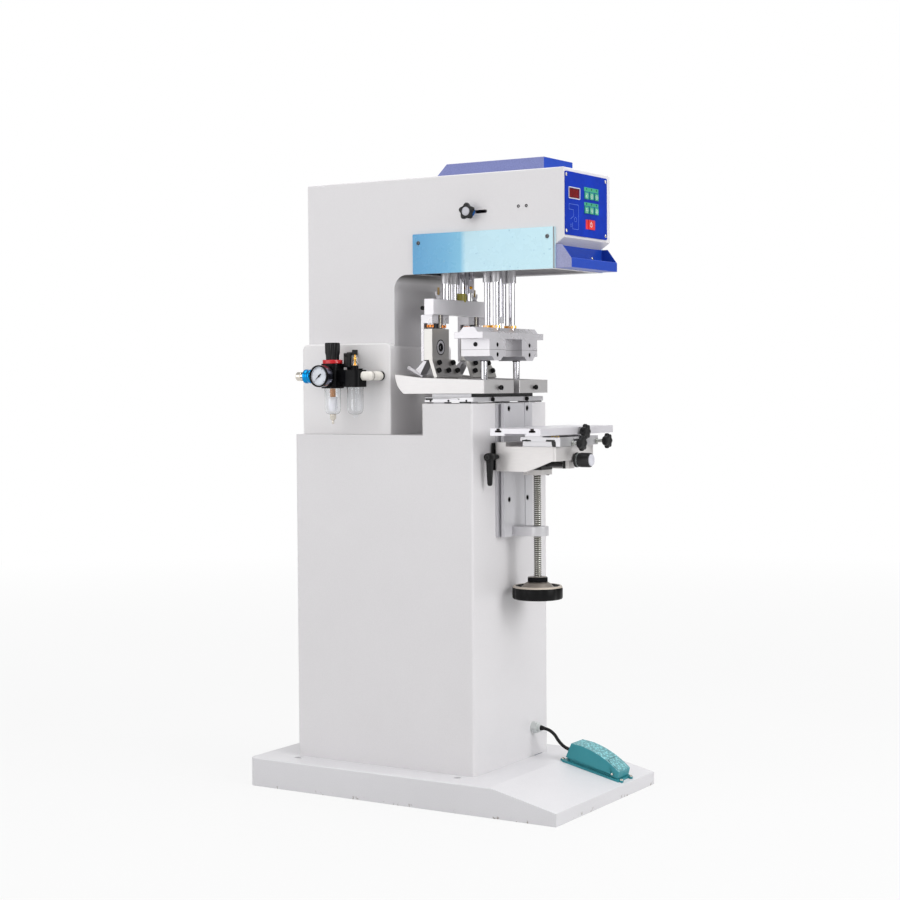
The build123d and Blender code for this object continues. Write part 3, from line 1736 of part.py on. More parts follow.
with BuildPart() as air_unit_body:
    for y, z0, z1 in (
        (regulator_y, regulator_bottom, regulator_top),
        (lubricator_y, lubricator_bottom, lubricator_top),
    ):
        block(
            unit_x - unit_body_half,
            unit_x + unit_body_half,
            y - unit_body_half,
            y + unit_body_half,
            z0,
            z1,
        )
    vertical = air_unit_body.edges().filter_by(Axis.Z)
    fillet(vertical, unit_body_half / 2)
    block(
        unit_x - neck_shoulder,
        unit_x + neck_shoulder,
        lubricator_y,
        regulator_y,
        port_z - neck_shoulder,
        port_z + neck_shoulder,
    )
    upright(unit_x, lubricator_y, lubricator_top, lub_neck_top, lub_neck_radius)
    upright(unit_x, regulator_y, regulator_top, regulator_top + ring_height, ring_radius)
    mid_y = (regulator_y + lubricator_y) / 2
    block(
        unit_x,
        -casing_half - bracket_plate,
        mid_y - bracket_plate,
        mid_y + bracket_plate,
        port_z - neck_shoulder,
        port_z + neck_shoulder,
    )
    block(
        -casing_half - bracket_plate,
        -casing_half,
        mid_y - bracket_width / 2,
        mid_y + bracket_width / 2,
        port_z - bracket_height / 2,
        port_z + bracket_height / 2,
    )
air_unit_body.part.label = "air_unit_body"
export_step(air_unit_body.part, "parts/air_unit_body.step")

with BuildPart() as regulator_knob:
    upright(
        unit_x, regulator_y, regulator_top + ring_height + slip_gap, knob_top, knob_radius
    )
    with BuildSketch(Plane.XY.offset(regulator_top + 2 * ring_height)):
        with Locations((unit_x, regulator_y)):
            with PolarLocations(knob_radius + knob_flute / 2, knob_lobe_count):
                Circle(knob_flute)
    extrude(amount=knob_top - regulator_top, mode=Mode.SUBTRACT)
    chamfer(regulator_knob.faces().sort_by(Axis.Z)[-1].edges(), soft_edge)
regulator_knob.part.label = "regulator_knob"
export_step(regulator_knob.part, "parts/regulator_knob.step")

with BuildPart() as oil_cap:
    upright(unit_x, lubricator_y, sight_top + slip_gap, cap_top, cap_radius)
    chamfer(oil_cap.faces().sort_by(Axis.Z)[-1].edges(), soft_edge)
oil_cap.part.label = "oil_cap"
export_step(oil_cap.part, "parts/oil_cap.step")

with BuildPart() as air_bowls:
    for y, radius, top in (
        (regulator_y, bowl_radius, regulator_bottom),
        (lubricator_y, lub_bowl_radius, lubricator_bottom),
    ):
        upright(unit_x, y, bowl_bottom, top, radius)
    bowl_floors = air_bowls.faces().group_by(Axis.Z)[0].edges()
    fillet(bowl_floors, bowl_round)
    for y, radius, top in (
        (regulator_y, bowl_radius, regulator_bottom),
        (lubricator_y, lub_bowl_radius, lubricator_bottom),
    ):
        upright(unit_x, y, bowl_bottom + bowl_round, top + overrun, radius - bowl_wall, Mode.SUBTRACT)
    upright(unit_x, regulator_y, drain_bottom, bowl_bottom + bowl_wall, drain_radius)
    upright(unit_x, lubricator_y, lub_neck_top, sight_top, sight_radius)
    upright(
        unit_x, lubricator_y, lub_neck_top - overrun, sight_top - sight_wall,
        sight_radius - sight_wall, Mode.SUBTRACT,
    )
air_bowls.part.label = "air_bowls"
export_step(air_bowls.part, "parts/air_bowls.step")

# Pressure gauge on the regulator's outer face
gauge_radius = 21.5
gauge_depth = 23.0
gauge_stem_radius = 6.0
gauge_stem = 8.0
gauge_bezel = 2.0
gauge_dish = 2.5
gauge_back = unit_x - unit_body_half - gauge_stem
gauge_face = gauge_back - gauge_depth
with BuildPart() as pressure_gauge:
    along_x(regulator_y, port_z, gauge_back, unit_x - unit_body_half, gauge_stem_radius)
    along_x(regulator_y, port_z, gauge_face, gauge_back, gauge_radius)
    along_x(
        regulator_y, port_z, gauge_face - overrun, gauge_face + gauge_dish,
        gauge_radius - gauge_bezel, Mode.SUBTRACT,
    )
pressure_gauge.part.label = "pressure_gauge"
export_step(pressure_gauge.part, "parts/pressure_gauge.step")

# Air fittings: a quick coupler at the inlet and an elbow into the casing
nipple_radius = 6.5
nipple_end = 222.0
collar_rear = 238.5
inlet_collar_radius = 14.0
coupler_rear = 258.0
coupler_radius = 9.0
coupler_bore = 5.5
elbow_radius = 9.0
elbow_y = 80.5
inlet_front = regulator_y + unit_body_half
outlet_rear = lubricator_y - unit_body_half
with BuildPart() as air_fittings:
    along_y(unit_x, port_z, nipple_end, inlet_front, nipple_radius)
    along_y(unit_x, port_z, collar_rear, nipple_end, inlet_collar_radius)
    along_y(unit_x, port_z, coupler_rear, collar_rear, coupler_radius)
    along_y(
        unit_x, port_z, coupler_rear + overrun, collar_rear, coupler_bore, Mode.SUBTRACT
    )
    along_y(unit_x, port_z, outlet_rear, elbow_y, elbow_radius)
    with Locations((unit_x, elbow_y, port_z)):
        Sphere(elbow_radius)
    along_x(elbow_y, port_z, unit_x, -casing_half, elbow_radius)
air_fittings.part.label = "air_fittings"
export_step(air_fittings.part, "parts/air_fittings.step")

# Foot switch on the ramp: a cast base, a treadle hinged at its low front, its cable
pedal_x = 99.0
pedal_rear_y = -218.0
pedal_length = 118.0
pedal_width = 50.0
pedal_flange = 4.0
pedal_flange_out = 4.0
pedal_tab = 9.0
pedal_tab_width = 14.0
pedal_base_height = 14.0
pedal_wall = 3.0
treadle_rear_height = 41.0
treadle_front_height = 19.0
treadle_crest = 30.0
treadle_crest_height = 43.0
treadle_crease = 88.0
treadle_crease_height = 32.5
treadle_lean = 6.0
pin_from_front = 13.0
pin_height = 10.5
pin_radius = 2.5
pin_overhang = 1.5
slope_normal = (0, -sin(radians(slope_angle)), cos(radians(slope_angle)))
pedal_rear_z = base_height - (slope_top_y - pedal_rear_y) * slope_drop / base_slope_run
pedal_plane = Plane(
    origin=(pedal_x, pedal_rear_y, pedal_rear_z), x_dir=(1, 0, 0), z_dir=slope_normal
)
# On the side plane, the first direction runs down the ramp and the second is its normal
pedal_side = Plane(
    origin=(pedal_x, pedal_rear_y, pedal_rear_z),
    x_dir=(0, -cos(radians(slope_angle)), -sin(radians(slope_angle))),
    z_dir=(-1, 0, 0),
)
cable_port_x = 92.0
cable_port_width = 11.0
cable_port_top = 28.0
cable_port_centre = 21.5
cable_port_gap = 1.0
cable_radius = 3.3
inner_half = pedal_width / 2 - pedal_wall - slip_gap
pin_along = pedal_length - pin_from_front
block_rear = pedal_wall + treadle_lean
with BuildPart() as pedal_base:
    with BuildSketch(pedal_plane):
        with Locations((0, -pedal_length / 2)):
            Rectangle(
                pedal_width + 2 * pedal_flange_out, pedal_length + 2 * pedal_flange_out
            )
        for y in (pedal_flange_out, -pedal_length - pedal_flange_out):
            for x in (-pedal_width / 2, pedal_width / 2 - pedal_tab):
                with Locations((x + pedal_tab / 2, y)):
                    RectangleRounded(pedal_tab, pedal_tab_width, pedal_tab / 3)
    extrude(amount=pedal_flange)
    with BuildSketch(pedal_side.offset(-inner_half)):
        with BuildLine():
            Polyline(
                (block_rear, 0),
                (pedal_length - pedal_wall - slip_gap, 0),
                (pedal_length - pedal_wall - slip_gap, pin_height - pin_radius),
                (pin_along, pin_height + pin_radius),
                (block_rear, pedal_base_height),
                close=True,
            )
        make_face()
    extrude(amount=2 * inner_half)
    with BuildSketch(pedal_side.offset(pedal_x - cable_port_x - cable_port_width / 2)):
        with Locations((block_rear / 2, cable_port_top / 2)):
            Rectangle(block_rear, cable_port_top)
    extrude(amount=cable_port_width)
    with BuildSketch(pedal_side.offset(-pedal_width / 2 - pin_overhang)):
        with Locations((pin_along, pin_height)):
            Circle(pin_radius)
    extrude(amount=pedal_width + 2 * pin_overhang)
pedal_base.part.label = "pedal_base"
export_step(pedal_base.part, "parts/pedal_base.step")

treadle_gap = 6.5
treadle_front_gap = 1.0
with BuildPart() as treadle:
    with BuildSketch(pedal_side.offset(-pedal_width / 2)):
        with BuildLine():
            Polyline(
                (0, pedal_flange + treadle_gap),
                (pedal_length, pedal_flange + treadle_front_gap),
                (pedal_length, treadle_front_height),
            )
            ThreePointArc(
                (pedal_length, treadle_front_height),
                (treadle_crease, treadle_crease_height),
                (treadle_crest, treadle_crest_height),
            )
            Polyline(
                (treadle_crest, treadle_crest_height),
                (treadle_lean, treadle_rear_height),
                (0, pedal_flange + treadle_gap),
            )
        make_face()
    extrude(amount=pedal_width)
    with BuildSketch(pedal_side.offset(-inner_half - slip_gap)):
        with BuildLine():
            Polyline(
                (pedal_wall, -overrun),
                (pedal_length - pedal_wall, -overrun),
                (pedal_length - pedal_wall, treadle_front_height - pedal_wall),
                (treadle_crease, treadle_crease_height - pedal_wall),
                (treadle_crest, treadle_crest_height - pedal_wall),
                (treadle_lean + pedal_wall, treadle_rear_height - pedal_wall),
                close=True,
            )
        make_face()
    extrude(amount=2 * (inner_half + slip_gap), mode=Mode.SUBTRACT)
    with BuildSketch(pedal_side.offset(-pedal_width)):
        with Locations((pin_along, pin_height)):
            Circle(pin_radius + fit_gap)
    extrude(amount=2 * pedal_width, mode=Mode.SUBTRACT)
    notch_half = cable_port_width / 2 + cable_port_gap
    notch_top = cable_port_top + treadle_gap + 2 * cable_port_gap
    with BuildSketch(pedal_side.offset(pedal_x - cable_port_x - notch_half)):
        with Locations((block_rear / 2, notch_top / 2)):
            Rectangle(block_rear + 2 * overrun, notch_top)
    extrude(amount=2 * notch_half, mode=Mode.SUBTRACT)
treadle.part.label = "treadle"
export_step(treadle.part, "parts/treadle.step")

# Cable gland on the column's front
gland_x = 84.7
gland_z = 115.4
gland_flange_radius = 11.5
gland_flange = 3.0
gland_hex = 20.0
gland_body = 9.0
gland_tip_radius = 7.5
gland_tip = 6.0
gland_front = column_front - gland_flange - gland_body - gland_tip
with BuildPart() as cable_gland:
    along_y(gland_x, gland_z, column_front, column_front - gland_flange, gland_flange_radius)
    with BuildSketch(Plane.XZ.offset(-(column_front - gland_flange))):
        with Locations((gland_x, gland_z)):
            RegularPolygon(gland_hex / 2, 6, major_radius=False)
    extrude(amount=gland_body)
    along_y(
        gland_x, gland_z, column_front - gland_flange - gland_body, gland_front, gland_tip_radius
    )
cable_gland.part.label = "cable_gland"
export_step(cable_gland.part, "parts/cable_gland.step")

# Foot switch cable: from the gland down to the port at the treadle's rear
cable_exit_run = 14.0
cable_entry_run = 12.0
cable_upper_x = 87.0
cable_upper_y = -188.5
cable_upper_z = 105.8
cable_lower_x = 89.8
cable_lower_y = -197.0
cable_lower_z = 90.3
bend_share = 0.45
ramp_cos = cos(radians(slope_angle))
ramp_sin = sin(radians(slope_angle))
cable_end_y = pedal_rear_y - cable_port_centre * ramp_sin
cable_end_z = pedal_rear_z + cable_port_centre * ramp_cos
cable_points = [
    Vector(gland_x, gland_front, gland_z),
    Vector(gland_x, gland_front - cable_exit_run, gland_z),
    Vector(cable_upper_x, cable_upper_y, cable_upper_z),
    Vector(cable_lower_x, cable_lower_y, cable_lower_z),
    Vector(
        cable_port_x,
        cable_end_y + cable_entry_run * ramp_cos,
        cable_end_z + cable_entry_run * ramp_sin,
    ),
    Vector(cable_port_x, cable_end_y, cable_end_z),
]
cable_radii = []
for before, corner, after in zip(cable_points, cable_points[1:], cable_points[2:]):
    run_in = corner - before
    run_out = after - corner
    half_turn = radians(run_in.get_angle(run_out)) / 2
    cable_radii.append(bend_share * min(run_in.length, run_out.length) / tan(half_turn))
with BuildPart() as pedal_cable:
    with BuildLine() as cable_line:
        FilletPolyline(*cable_points, radius=cable_radii)
    with BuildSketch(Plane(origin=cable_points[0], z_dir=(0, -1, 0))):
        Circle(cable_radius)
    sweep(path=cable_line.line)
pedal_cable.part.label = "pedal_cable"
export_step(pedal_cable.part, "parts/pedal_cable.step")
cable_length = sum(edge.length for edge in cable_line.edges())
print("cable radii", [round(radius, 1) for radius in cable_radii])
print("cable points", [(round(p.X, 1), round(p.Y, 1), round(p.Z, 1)) for p in cable_points])
print("cable length", round(cable_length, 1))
print("cable volume", round(pedal_cable.part.volume / (pi * cable_radius**2 * cable_length), 4))
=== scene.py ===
import math

import bmesh
import bpy
from mathutils import Matrix, Vector


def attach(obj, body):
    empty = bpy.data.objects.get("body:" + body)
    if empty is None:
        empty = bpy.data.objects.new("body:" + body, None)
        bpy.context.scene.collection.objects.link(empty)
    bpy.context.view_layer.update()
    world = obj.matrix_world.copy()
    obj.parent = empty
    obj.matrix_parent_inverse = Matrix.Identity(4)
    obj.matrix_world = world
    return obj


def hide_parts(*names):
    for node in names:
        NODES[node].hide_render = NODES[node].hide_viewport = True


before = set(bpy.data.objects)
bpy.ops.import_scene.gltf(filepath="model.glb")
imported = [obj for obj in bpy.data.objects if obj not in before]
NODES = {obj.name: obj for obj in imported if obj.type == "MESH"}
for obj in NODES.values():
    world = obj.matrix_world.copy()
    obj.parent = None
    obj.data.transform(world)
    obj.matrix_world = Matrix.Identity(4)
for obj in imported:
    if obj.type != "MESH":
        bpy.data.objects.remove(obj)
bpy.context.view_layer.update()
MM = 0.001
X, Y, Z = Vector((1, 0, 0)), Vector((0, 1, 0)), Vector((0, 0, 1))

# Places that several pieces share, in millimetres: the two doctor heads and ink trays, the two pads, the
# axes of the lift, the clamping lever, the stroke stop and the feed dial, the panel's face, the air unit
STATIONS = (-68.5, 68.5)
PAD_STATIONS = (-63.0, 63.0)
LIFT_AXIS = (0, -200.0, 0)
LEVER = (-98.7, -157.0, 664.5)
STOP = (-97.7, -112.0, 1132.0)
DIAL_AXIS = (0, 0, 657.4)
PANEL_FACE = -313.15
AIR_X, REGULATOR_Y, LUBRICATOR_Y, PORT_Z = -155.0, 173.0, 119.5, 821.0

# The view calibrated on the photograph, in degrees and metres
CAMERA_AZIMUTH, CAMERA_ELEVATION, CAMERA_ROLL = -58.367, 2.07, -0.374
CAMERA_PLACE = (-3.0792, -1.8986, 0.8032)
CAMERA_LENS = 72.54

# The studio's walls as seen from the object: share of the way round, and brightness
TOWARDS_CAMERA = (-0.851, -0.525, 0.0)
WALL_BANDS = ((0.0, 1.0), (0.07, 0.9), (0.13, 0.05), (0.19, 0.05), (0.24, 0.6), (0.31, 0.6), (0.37, 0.04),
              (0.6, 0.04), (0.68, 0.5), (0.77, 0.5), (0.83, 0.1), (0.93, 0.1), (0.98, 0.62), (1.0, 0.62))
WHITE = (1.0, 1.0, 1.0, 1.0)


# ---------------------------------------------------------------- camera
def make_camera():
    azimuth, elevation = math.radians(CAMERA_AZIMUTH), math.radians(CAMERA_ELEVATION)
    roll = math.radians(CAMERA_ROLL)
    back = Vector((math.sin(azimuth) * math.cos(elevation), -math.cos(azimuth) * math.cos(elevation),
                   math.sin(elevation)))
    right = (-back).cross(Z).normalized()
    up = right.cross(-back).normalized()
    across = right * math.cos(roll) + up * math.sin(roll)
    upward = -right * math.sin(roll) + up * math.cos(roll)
    data = bpy.data.cameras.new("camera")
    data.sensor_width = 36.0
    data.lens = CAMERA_LENS
    data.clip_start = 0.1
    data.clip_end = 60.0
    camera = bpy.data.objects.new("camera", data)
    turn = Matrix((across, upward, back)).transposed().to_4x4()
    camera.matrix_world = Matrix.Translation(Vector(CAMERA_PLACE)) @ turn
    bpy.context.scene.collection.objects.link(camera)
    bpy.context.scene.camera = camera
    bpy.context.scene.view_settings.view_transform = "Standard"


# ---------------------------------------------------------------- node helpers
def srgb(r, g, b):
    out = []
    for value in (r, g, b):
        value = value / 255.0
        out.append(value / 12.92 if value <= 0.04045 else ((value + 0.055) / 1.055) ** 2.4)
    return (out[0], out[1], out[2], 1.0)


def shade(colour, factor):
    return tuple(min(1.0, c * factor) for c in colour[:3]) + (1.0,)


class Graph:
    """A node tree, with short ways to add nodes to it."""

    def __init__(self, tree):
        self.tree = tree
        self.tree.nodes.clear()

    def put(self, socket, value):
        """Gives a socket a constant, or links it to another node's output."""
        if isinstance(value, (int, float, tuple)):
            socket.default_value = value
        else:
            self.tree.links.new(value, socket)

    def node(self, kind, inputs=None, **settings):
        node = self.tree.nodes.new("ShaderNode" + kind)
        for name, value in settings.items():
            setattr(node, name, value)
        for key, value in (inputs or {}).items():
            self.put(node.inputs[key], value)
        return node

    def spread(self, value, low, high, a=0.25, b=0.75):
        """Takes a to low and b to high."""
        return self.node("MapRange", {"From Min": a, "From Max": b, "To Min": low, "To Max": high,
                                      "Value": value}).outputs["Result"]

    def math(self, kind, a, b=0.0):
        return self.node("Math", {0: a, 1: b}, operation=kind).outputs[0]

    def ramp(self, value, *stops):
        node = self.node("ValToRGB", {"Fac": value})
        elements = node.color_ramp.elements
        while len(elements) < len(stops):
            elements.new(0.5)
        for element, (place, colour) in zip(elements, stops):
            element.position = place
            element.color = colour
        return node.outputs["Color"]

    def tone(self, value, colour, low, high, a=0.3, b=0.7):
        """A ramp between two shades of one colour."""
        return self.ramp(value, (a, shade(colour, low)), (b, shade(colour, high)))

    def mix(self, factor, a, b, kind="MIX"):
        node = self.node("Mix", data_type="RGBA", blend_type=kind, clamp_result=True)
        for index, value in ((0, factor), (6, a), (7, b)):
            self.put(node.inputs[index], value)
        return node.outputs[2]

    def separate(self, vector):
        return self.node("SeparateXYZ", {0: vector}).outputs


class Shader(Graph):
    """A material on the Principled shader, patterned in the object's own coordinates."""

    SOCKETS = {"metallic": "Metallic", "anisotropic": "Anisotropic", "specular": "Specular IOR Level",
               "coat": "Coat Weight", "coat_rough": "Coat Roughness",
               "transmission": "Transmission Weight", "ior": "IOR"}

    def __init__(self, name):
        self.material = bpy.data.materials.new(name)
        self.material.use_nodes = True
        super().__init__(self.material.node_tree)
        self.bsdf = self.node("BsdfPrincipled")
        self.output = self.node("OutputMaterial", {"Surface": self.bsdf.outputs[0]})
        self.coordinates = self.node("TexCoord").outputs["Object"]

    def mapped(self, scale, turn=(0, 0, 0)):
        return self.node("Mapping", {"Scale": scale, "Rotation": turn, "Vector": self.coordinates}).outputs[0]

    def noise(self, scale, detail=3.0, rough=0.55, vector=None, distort=0.0):
        inputs = {"Scale": scale, "Detail": detail, "Roughness": rough, "Distortion": distort,
                  "Vector": vector or self.coordinates}
        return self.node("TexNoise", inputs).outputs["Fac"]

    def brushed(self, colour, grain):
        """Streaks along the grain, a broad cloudiness, and the tone that both make."""
        streaks = self.noise(60.0, 4.0, 0.5, self.mapped(grain))
        broad = self.noise(12.0, 4.0)
        tone = self.mix(0.5, self.tone(streaks, colour, 0.94, 1.03, 0.25, 0.75),
                        self.tone(broad, colour, 0.95, 1.03, 0.35, 0.65))
        return streaks, broad, tone

    def place(self):
        return self.separate(self.coordinates)

    def normal(self):
        return self.separate(self.node("NewGeometry").outputs["Normal"])

    def finish(self, colour, rough, height, strength, distance, **others):
        self.put(self.bsdf.inputs["Base Color"], colour)
        self.put(self.bsdf.inputs["Roughness"], rough)
        for key, value in others.items():
            self.put(self.bsdf.inputs[self.SOCKETS[key]], value)
        bump = self.node("Bump", {"Strength": strength, "Distance": distance, "Height": height})
        self.put(self.bsdf.inputs["Normal"], bump.outputs["Normal"])
        return self.material


# ---------------------------------------------------------------- materials
def powder_coat(name, colour, chipped=False):
    """Powder coat with orange peel. The base plate's has a few small chips along its lower edge."""
    s = Shader(name)
    tone = s.mix(0.35, s.tone(s.noise(3.5, 4.0, 0.6), colour, 0.965, 1.02),
                 s.tone(s.noise(420.0, 2.0, 0.5), colour, 0.955, 1.03, 0.35, 0.65))
    if chipped:
        foot = s.spread(s.place()[2], 0.9, 0.0, 0.001, 0.009)
        chips = s.spread(s.noise(85.0, 3.0, 0.6), 0.0, 1.0, 0.62, 0.68)
        tone = s.mix(s.math("MULTIPLY", foot, chips), tone, srgb(128, 118, 108))
    rough = s.spread(s.noise(60.0, 3.0), 0.37, 0.49)
    return s.finish(tone, rough, s.noise(650.0, 2.0, 0.45), 0.16, 0.0004, coat=0.12, coat_rough=0.25)


def hammertone():
    """Royal blue hammertone with a pale lavender sheen on the left-hand sheets, painted into the base colour
    as a painted reflection.
    """
    s = Shader("paint_royal_blue")
    blue = srgb(20, 64, 172)
    # painted reflection: faces turned to the left, on the left of the machine, are mixed towards lavender
    left = s.spread(s.normal()[0], 0.85, 0.0, -0.95, -0.6)
    left = s.math("MULTIPLY", left, s.spread(s.place()[0], 1.0, 0.0, -0.055, -0.05))
    pits = s.noise(480.0, 2.0, 0.5)
    front = s.spread(s.place()[1], 0.0, 1.0, -0.27, -0.29)
    # painted reflection colours: a deeper lavender on the top tray, a paler one on the front tray
    sheen = s.mix(front, srgb(134, 141, 190), srgb(168, 169, 198))
    pale = s.mix(1.0, sheen, s.ramp(pits, (0.35, (0.8, 0.8, 0.84, 1.0)), (0.65, WHITE)), "MULTIPLY")
    tone = s.mix(left, s.tone(pits, blue, 0.93, 1.06, 0.35, 0.65), pale)
    rough = s.spread(s.noise(60.0, 3.0), 0.36, 0.46)
    return s.finish(tone, rough, pits, 0.4, 0.0004, specular=0.35, coat=0.08, coat_rough=0.2)


def arm_paint(colour):
    """The housing's paint; its down-facing faces low on the arm and behind the nose are painted dark as
    painted shade.
    """
    s = Shader("paint_arm")
    painted_shade_mask = s.spread(s.normal()[2], 1.0, 0.0, -0.9, -0.5)
    axes = s.place()
    painted_shade_mask = s.math("MULTIPLY", painted_shade_mask, s.spread(axes[2], 1.0, 0.0, 1.022, 1.026))
    painted_shade_mask = s.math("MULTIPLY", painted_shade_mask, s.spread(axes[1], 0.0, 1.0, -0.262, -0.2))
    broad = s.noise(2.6, 5.0, 0.55)
    fine = s.noise(300.0, 3.0, 0.6)
    tone = s.mix(0.5, s.tone(broad, colour, 0.97, 1.02), s.tone(fine, colour, 0.975, 1.02))
    # painted shade: dark colour for the shaded underside of the arm
    painted_underside_shade = s.ramp(broad, (0.3, srgb(62, 58, 56)), (0.7, srgb(84, 79, 76)))
    peel = s.math("ADD", s.noise(240.0, 2.0), s.math("MULTIPLY", fine, 0.4))
    return s.finish(s.mix(painted_shade_mask, tone, painted_underside_shade), s.spread(broad, 0.38, 0.46), peel, 0.16, 0.0002,
                    coat=0.12, coat_rough=0.22)


def machined(name, rgb, rough=0.3, grain=(1.0, 1.0, 14.0), depth=0.12, anisotropic=0.35, metallic=0.6):
    s = Shader(name)
    streaks, broad, tone = s.brushed(srgb(*rgb), grain)
    fine = s.noise(420.0, 2.0, 0.5, s.mapped(grain))
    height = s.math("ADD", streaks, s.math("MULTIPLY", fine, 0.5))
    return s.finish(tone, s.spread(broad, rough - 0.04, rough + 0.05), height, depth, 0.00005,
                    metallic=metallic, anisotropic=anisotropic)


def polished(name, rgb, rough=0.14, scale=160.0, depth=0.05, axis="Z"):
    s = Shader(name)
    rings = s.node("TexWave", {"Scale": scale, "Distortion": 0.0, "Vector": s.coordinates},
                   bands_direction=axis)
    smudge = s.noise(45.0, 5.0, 0.65)
    return s.finish(s.tone(smudge, srgb(*rgb), 0.9, 1.03), s.spread(smudge, 0.8 * rough, 1.3 * rough),
                    rings.outputs["Fac"], depth, 0.00001, metallic=1.0)


def moulded(name, rgb, rough=0.38, grain=800.0, depth=0.12, coat=0.0, specular=0.5):
    s = Shader(name)
    tone = s.tone(s.noise(24.0, 4.0), srgb(*rgb), 0.86, 1.12)
    return s.finish(tone, s.spread(s.noise(90.0, 3.0), rough - 0.07, rough + 0.08), s.noise(grain, 2.0, 0.5),
                    depth, 0.0002, specular=specular, coat=coat, coat_rough=0.12)


def clear_plastic(name):
    s = Shader(name)
    tone = s.tone(s.noise(20.0, 3.0), srgb(250, 251, 252), 0.98, 1.0)
    return s.finish(tone, s.spread(s.noise(70.0, 3.0), 0.03, 0.07), s.noise(60.0, 2.0), 0.03, 0.0002,
                    transmission=1.0, ior=1.12, coat=0.8, coat_rough=0.06)


def table_material():
    """Ground aluminium; the surfaces inside each T-slot are painted dark as painted shade."""
    s = Shader("worktable_aluminium")
    streaks, broad, tone = s.brushed(srgb(219, 217, 222), (1.0, 14.0, 14.0))
    slot_centres, half_foot, half_neck = (-0.272, -0.1995), 0.00679, 0.00353
    slot_floor, foot_top, table_top = 0.71296, 0.71652, 0.7199
    axes = s.place()
    slot_shade_mask = 0.0
    for y in slot_centres:
        away = s.math("ABSOLUTE", s.math("SUBTRACT", axes[1], y))
        foot = s.math("MULTIPLY", s.math("LESS_THAN", away, half_foot),
                      s.math("LESS_THAN", axes[2], foot_top))
        slot_shade_mask = s.math("MAXIMUM", slot_shade_mask, s.math("MAXIMUM", foot, s.math("LESS_THAN", away, half_neck)))
    inside = s.math("MULTIPLY", s.math("GREATER_THAN", axes[2], slot_floor),
                    s.math("LESS_THAN", axes[2], table_top))
    # painted shade: the dark colour inside the T-slot cuts
    tone = s.mix(s.math("MULTIPLY", slot_shade_mask, inside), tone, srgb(74, 68, 66))
    return s.finish(tone, s.spread(broad, 0.28, 0.37), streaks, 0.06, 0.00005, metallic=0.4, anisotropic=0.3)


def carrier_material():
    """Black anodised plate; its two end faces are painted pale and partly metallic, painted light standing
    for the light on them.
    """
    s = Shader("tray_carrier_plate")
    ends = s.spread(s.math("ABSOLUTE", s.normal()[0]), 0.0, 1.0, 0.6, 0.9)
    broad = s.noise(24.0, 4.0)
    dark = s.ramp(broad, (0.3, srgb(15, 15, 17)), (0.7, srgb(24, 24, 26)))
    # painted light: pale, partly metallic colour for the end faces
    painted_end_light = s.ramp(broad, (0.3, srgb(196, 195, 199)), (0.7, srgb(212, 211, 214)))
    return s.finish(s.mix(ends, dark, painted_end_light), s.spread(s.noise(90.0, 3.0), 0.3, 0.44),
                    s.noise(700.0, 2.0, 0.5), 0.1, 0.0002, metallic=s.spread(ends, 0.0, 0.5, 0.0, 1.0))


def screw_material():
    """Bright thread crests and darker thread roots; the radius is measured from the screw's own axis."""
    s = Shader("lead_screw_steel")
    axes = s.place()
    across = s.math("ADD", axes[1], 0.2)
    squares = s.math("ADD", s.math("MULTIPLY", axes[0], axes[0]), s.math("MULTIPLY", across, across))
    crest = s.spread(s.math("SQRT", squares), 0.0, 1.0, 0.0067, 0.0076)
    wear = s.noise(60.0, 4.0, 0.6)
    bright = s.ramp(wear, (0.3, srgb(196, 195, 188)), (0.7, srgb(226, 226, 222)))
    return s.finish(s.mix(crest, srgb(96, 94, 86), bright), s.spread(crest, 0.34, 0.09, 0.0, 1.0), wear,
                    0.02, 0.00005, metallic=1.0)


def film_material():
    """Blue protective film, painted paler towards the front as a painted reflection, with dust and a cloudy
    sheen.
    """
    s = Shader("protective_film")
    # painted reflection: the film's colour ramps paler from back to front
    along = s.spread(s.place()[1], 0.0, 1.0, 0.02, -0.293)
    tone = s.ramp(along, (0.0, srgb(72, 152, 200)), (0.24, srgb(98, 172, 212)), (0.345, srgb(118, 188, 220)),
                  (0.385, srgb(190, 226, 238)), (1.0, srgb(196, 232, 242)))
    tone = s.mix(s.spread(s.noise(160.0, 2.0, 0.5), 0.0, 0.6, 0.68, 0.74), tone, srgb(128, 180, 204))
    cloudy = s.ramp(s.noise(14.0, 4.0, 0.6), (0.3, (0.9, 0.95, 1.0, 1.0)), (0.7, WHITE))
    wrinkle = s.noise(24.0, 3.0, 0.5, s.mapped((1.0, 0.35, 1.6), (0.3, 0.0, 0.0)), 1.2)
    tone = s.mix(0.5, tone, s.mix(1.0, tone, cloudy, "MULTIPLY"))
    return s.finish(tone, s.spread(s.noise(30.0, 3.0), 0.2, 0.34), wrinkle, 0.12, 0.001,
                    coat=0.2, coat_rough=0.1)


def treadle_material():
    """Smooth dark teal sides and a paler, pimpled top."""
    s = Shader("teal_treadle")
    upward = s.spread(s.normal()[2], 0.0, 1.0, 0.45, 0.6)
    pimples = s.node("TexVoronoi", {"Scale": 210.0, "Vector": s.coordinates}, feature="F1")
    grain = s.spread(pimples.outputs["Distance"], 1.0, 0.0, 0.1, 0.75)
    flank = s.tone(s.noise(14.0, 4.0), srgb(49, 140, 150), 0.93, 1.06)
    tread = s.tone(grain, srgb(124, 182, 188), 0.66, 1.3, 0.25, 0.75)
    height = s.math("ADD", s.math("MULTIPLY", s.math("MULTIPLY", grain, upward), 3.0), s.noise(900.0))
    return s.finish(s.mix(upward, flank, tread), s.spread(upward, 0.4, 0.6, 0.0, 1.0), height, 0.3, 0.0004,
                    specular=0.4)


